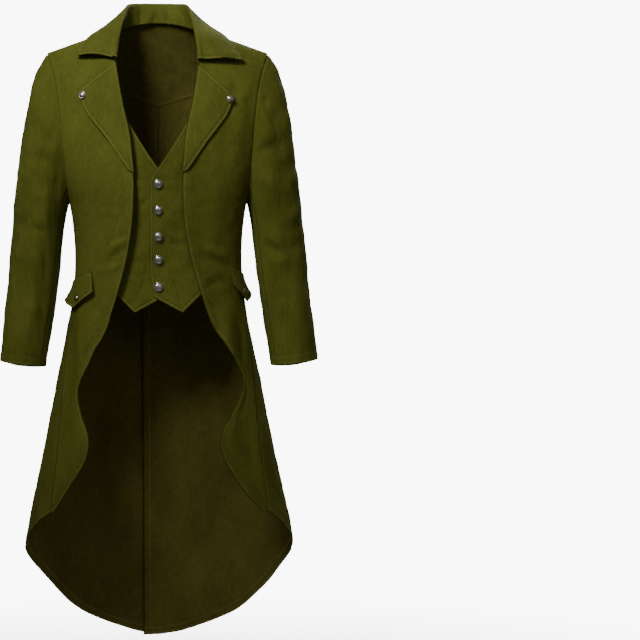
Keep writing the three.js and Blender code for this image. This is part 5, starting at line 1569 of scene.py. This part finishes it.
for name, side in SIDES:
    lapel = cloth_shell(
        f"lapel_{name}",
        lapel_surface(side),
        (0, 1),
        (0, 1),
        -side,
        ("folded", "stitched", "stitched", "plain"),
        PRESSED,
        relief=creased(LAPEL_CREASES),
        grain="centre",
        spacing=FINE_GRID,
        seed=81 + side,
    )
    sew(f"lapel_stitches_{name}", [
        line_beside(f"lapel_{name}", 1, EDGE_STITCH, (EDGE_STITCH, LAPEL_STITCH_STOPS)),
        line_beside(f"lapel_{name}", 2, EDGE_STITCH, (GORGE_STITCH_STARTS, EDGE_STITCH)),
    ])

# ---- Pocket flaps ----
# A pointed flap of doubled twill hangs from each hip pocket's seam and flares away from the coat.
# Angle where the seam starts and ends, its drop, and the slant of the flap's inner edge.
FLAP_SEAM = {1: (56, 89, 0.474, 0), -1: (49.5, 85.5, 0.485, -4.5)}
# Share across the flap, and how far it hangs there.
FLAP_HEM = ((0, 0.5, 1), (0.039, 0.062, 0.038))
FLAP_SLOPE, FLAP_LIFT, FLAP_FLARE, FLAP_FLARE_CURVE, FLAP_INNER_FLARE = 0.024, 0.0036, 0.012, 1.4, 0.55


def flap_surface(side):
    from_angle, to_angle, seam_drop, slant = FLAP_SEAM[side]

    def on_coat(share, down):
        angle = lerp(from_angle + slant * down, to_angle, share)
        return body_point(side, angle, seam_drop + FLAP_SLOPE * share + np.interp(share, *FLAP_HEM) * down)

    def lift(share, down):
        flare = FLAP_FLARE * np.maximum(0, down) ** FLAP_FLARE_CURVE
        return FLAP_LIFT + flare * lerp(FLAP_INNER_FLARE, 1, share)

    return raised(on_coat, lift, -side)


for name, side in SIDES:
    flap = cloth_shell(
        f"pocket_flap_{name}",
        flap_surface(side),
        (0, 1),
        (0, 1),
        -side,
        ("stitched", "stitched", "folded", "stitched"),
        PRESSED,
        spacing=FINE_GRID,
        seed=91 + side,
    )
    sew(f"flap_stitches_{name}", [
        line_beside(f"pocket_flap_{name}", 0, EDGE_STITCH, (0, EDGE_STITCH)),
        line_beside(f"pocket_flap_{name}", 1, EDGE_STITCH, (0, EDGE_STITCH)),
        line_beside(f"pocket_flap_{name}", 3, EDGE_STITCH, (EDGE_STITCH, EDGE_STITCH)),
    ])

# ---- Half belt ----
# A short belt of doubled twill with pointed ends lies across the back waist. It is edge-stitched all
# round, and a button through each end holds it to the backs.
BELT_HALF_LENGTH, BELT_HALF_DEPTH, BELT_DROP, BELT_END_RISE, BELT_LIFT = 0.082, 0.0158, 0.424, 0.012, 0.0032
BELT_POINT_LENGTH, BELT_POINT_SHARPNESS = 0.007, 8


def belt_on_coat(u, v):
    pointed = BELT_POINT_LENGTH * (1 - np.abs(v)) * np.abs(u) ** BELT_POINT_SHARPNESS
    x = u * (BELT_HALF_LENGTH + pointed)
    drop = BELT_DROP - BELT_END_RISE * u * u + BELT_HALF_DEPTH * v
    return body_point(np.where(x < 0, -1, 1), angle_of(x, drop, True), drop)


belt_surface = raised(belt_on_coat, lambda u, v: BELT_LIFT, 1)
belt = cloth_shell(
    "back_belt",
    belt_surface,
    (-1, 1),
    (-1, 1),
    1,
    ("stitched", "stitched", "stitched", "stitched"),
    PRESSED,
    spacing=FINE_GRID,
    seed=101,
)
sew("belt_stitches", [
    line_beside("back_belt", edge, EDGE_STITCH, (EDGE_STITCH, EDGE_STITCH)) for edge in range(4)
])

# ---- Buttons and studs ----
# Domed pewter-coloured metal, each spun in one piece with a rolled rim and a shank. Five close the
# waistcoat; the rest sit on the lapels, the flaps, the belt and the cuffs, sewn to the cloth below.
BUTTON_DIAMETER = {"vest": 0.018, "lapel": 0.014, "flap": 0.012, "belt": 0.0145, "cuff": 0.0135}
# Half section as shares of the radius: out, up, and how dark the metal has gone there.
BUTTON_SECTION = (
    (0.00, 0.00, 1.0), (0.28, 0.00, 1.0), (0.30, 0.05, 1.0), (0.30, 0.20, 1.0), (0.36, 0.25, 1.0),
    (0.80, 0.26, 0.9), (0.93, 0.27, 0.7), (0.99, 0.31, 0.3), (1.00, 0.36, 0.0), (0.98, 0.41, 0.0),
    (0.93, 0.44, 0.1), (0.88, 0.43, 0.6), (0.84, 0.42, 1.0), (0.80, 0.44, 0.8), (0.74, 0.50, 0.2),
    (0.62, 0.58, 0.0), (0.46, 0.645, 0.0), (0.30, 0.68, 0.0), (0.14, 0.697, 0.0), (0.00, 0.70, 0.0),
)
BUTTON_SIDES = 48
# Pewter: its darker and its brighter metal, the tarnish and how much of it shows, and roughness,
# with what clouding and tarnish add to it.
PEWTER_DARKER, PEWTER_BRIGHTER = (0.40, 0.39, 0.38, 1), (0.58, 0.57, 0.55, 1)
TARNISH_COLOUR, TARNISH_SHOWS = (0.020, 0.019, 0.016, 1), 0.95
PEWTER_ROUGHNESS, CLOUDING_ADDS, TARNISH_ADDS = 0.17, 0.12, 0.3
CLOUDS_IN_A_METRE, DENTS_IN_A_METRE = 260.0, 520.0
CUFF_BUTTON_RINGS, CUFF_BUTTON_FROM_SEAM = (10.3, 11.38, 12.3), 18
LAPEL_STUD_AT, FLAP_BUTTON_AT = (0.93, 0.07), (0.41, 0.75)
BELT_BUTTON_X, BELT_BUTTON_UP = {1: 0.064, -1: 0.061}, -0.1
VEST_BUTTON_DROPS = (0.309, 0.361, 0.414, 0.460, 0.514)


def pewter():
    """Silvery metal, lightly hammered and brushed, darker where the polish doesn't reach."""
    material, metal, start = new_material("pewter")
    place = start.node("ShaderNodeTexCoord", output="Object")
    cloud = start.node(
        "ShaderNodeTexNoise", None, {"Vector": place, "Scale": CLOUDS_IN_A_METRE, "Detail": 3.0}
    )
    dents = start.node(
        "ShaderNodeTexNoise", None, {"Vector": place, "Scale": DENTS_IN_A_METRE, "Detail": 1.0}
    )
    tarnish = start.node("ShaderNodeAttribute", {"attribute_name": "tarnish"}, output="Fac")
    clean = cloud.between(PEWTER_DARKER, PEWTER_BRIGHTER)
    (tarnish * TARNISH_SHOWS).between(clean, TARNISH_COLOUR).feeds(metal.inputs["Base Color"])
    (PEWTER_ROUGHNESS + cloud * CLOUDING_ADDS + tarnish * TARNISH_ADDS).feeds(metal.inputs["Roughness"])
    bump = start.node("ShaderNodeBump", None, {"Strength": 0.35, "Distance": 0.0003, "Height": dents})
    bump.feeds(metal.inputs["Normal"])
    metal.inputs["Metallic"].default_value = 1.0
    return material


PEWTER = pewter()


def set_button(node, kind, surface, u, v, facing):
    """A button on a surface, its foot a rest gap clear of the cloth."""
    radius = BUTTON_DIAMETER[kind] / 2
    u, v = np.array([float(u)]), np.array([float(v)])
    out = normal_of(surface, u, v, facing)[0]
    side_way = unit(np.cross(out, [0.0, 0.0, 1.0]))
    up_way = np.cross(side_way, out)
    foot = surface(u, v)[0] + out * REST_GAP
    turns = np.linspace(0, 2 * math.pi, BUTTON_SIDES + 1)[:-1]
    ring = np.outer(np.cos(turns), side_way) - np.outer(np.sin(turns), up_way)
    section = np.array(BUTTON_SECTION)
    inner_rows = section[1:-1]
    vertices = [foot]
    for reach, up, _ in inner_rows:
        vertices.extend(foot + out * up * radius + ring * reach * radius)
    vertices.append(foot + out * section[-1, 1] * radius)
    top = len(vertices) - 1
    faces = []
    for k in range(BUTTON_SIDES):
        following = (k + 1) % BUTTON_SIDES
        faces.append((0, 1 + k, 1 + following))
        for row in range(len(inner_rows) - 1):
            low, high = 1 + row * BUTTON_SIDES, 1 + (row + 1) * BUTTON_SIDES
            faces.append((low + following, low + k, high + k, high + following))
        last = 1 + (len(inner_rows) - 1) * BUTTON_SIDES
        faces.append((last + following, last + k, top))
    mesh = bpy.data.meshes.new(node)
    mesh.from_pydata([tuple(vertex) for vertex in vertices], [], faces)
    mesh.polygons.foreach_set("use_smooth", np.ones(len(faces), bool))
    tarnish = np.r_[1.0, np.repeat(inner_rows[:, 2], BUTTON_SIDES), 0.0]
    mesh.attributes.new("tarnish", "FLOAT", "POINT").data.foreach_set("value", tarnish)
    mesh.materials.append(PEWTER)
    button = bpy.data.objects.new(node + "_metal", mesh)
    bpy.context.collection.objects.link(button)
    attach(button, "root")
    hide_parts(node)


def lapped_front(x, drop):
    return on_front(1, x, -drop) + [0, CLOTH + VEST_STAND_OFF, 0]


for name, side in SIDES:
    for number, ring in enumerate(CUFF_BUTTON_RINGS, 1):
        angle = BACK_SEAM_ANGLE[side] - CUFF_BUTTON_FROM_SEAM
        set_button(f"cuff_button_{name}_{number}", "cuff", cuff_surface(side), angle, ring, -side)
    set_button(f"lapel_stud_{name}", "lapel", lapel_surface(side), *LAPEL_STUD_AT, -side)
    set_button(f"flap_button_{name}", "flap", flap_surface(side), *FLAP_BUTTON_AT, -side)
    on_belt = side * BELT_BUTTON_X[side] / BELT_HALF_LENGTH
    set_button(f"belt_button_{name}", "belt", belt_surface, on_belt, BELT_BUTTON_UP, 1)
for number, button_drop in enumerate(VEST_BUTTON_DROPS, 1):
    set_button(f"vest_button_{number}", "vest", lapped_front, 0, button_drop, -1)
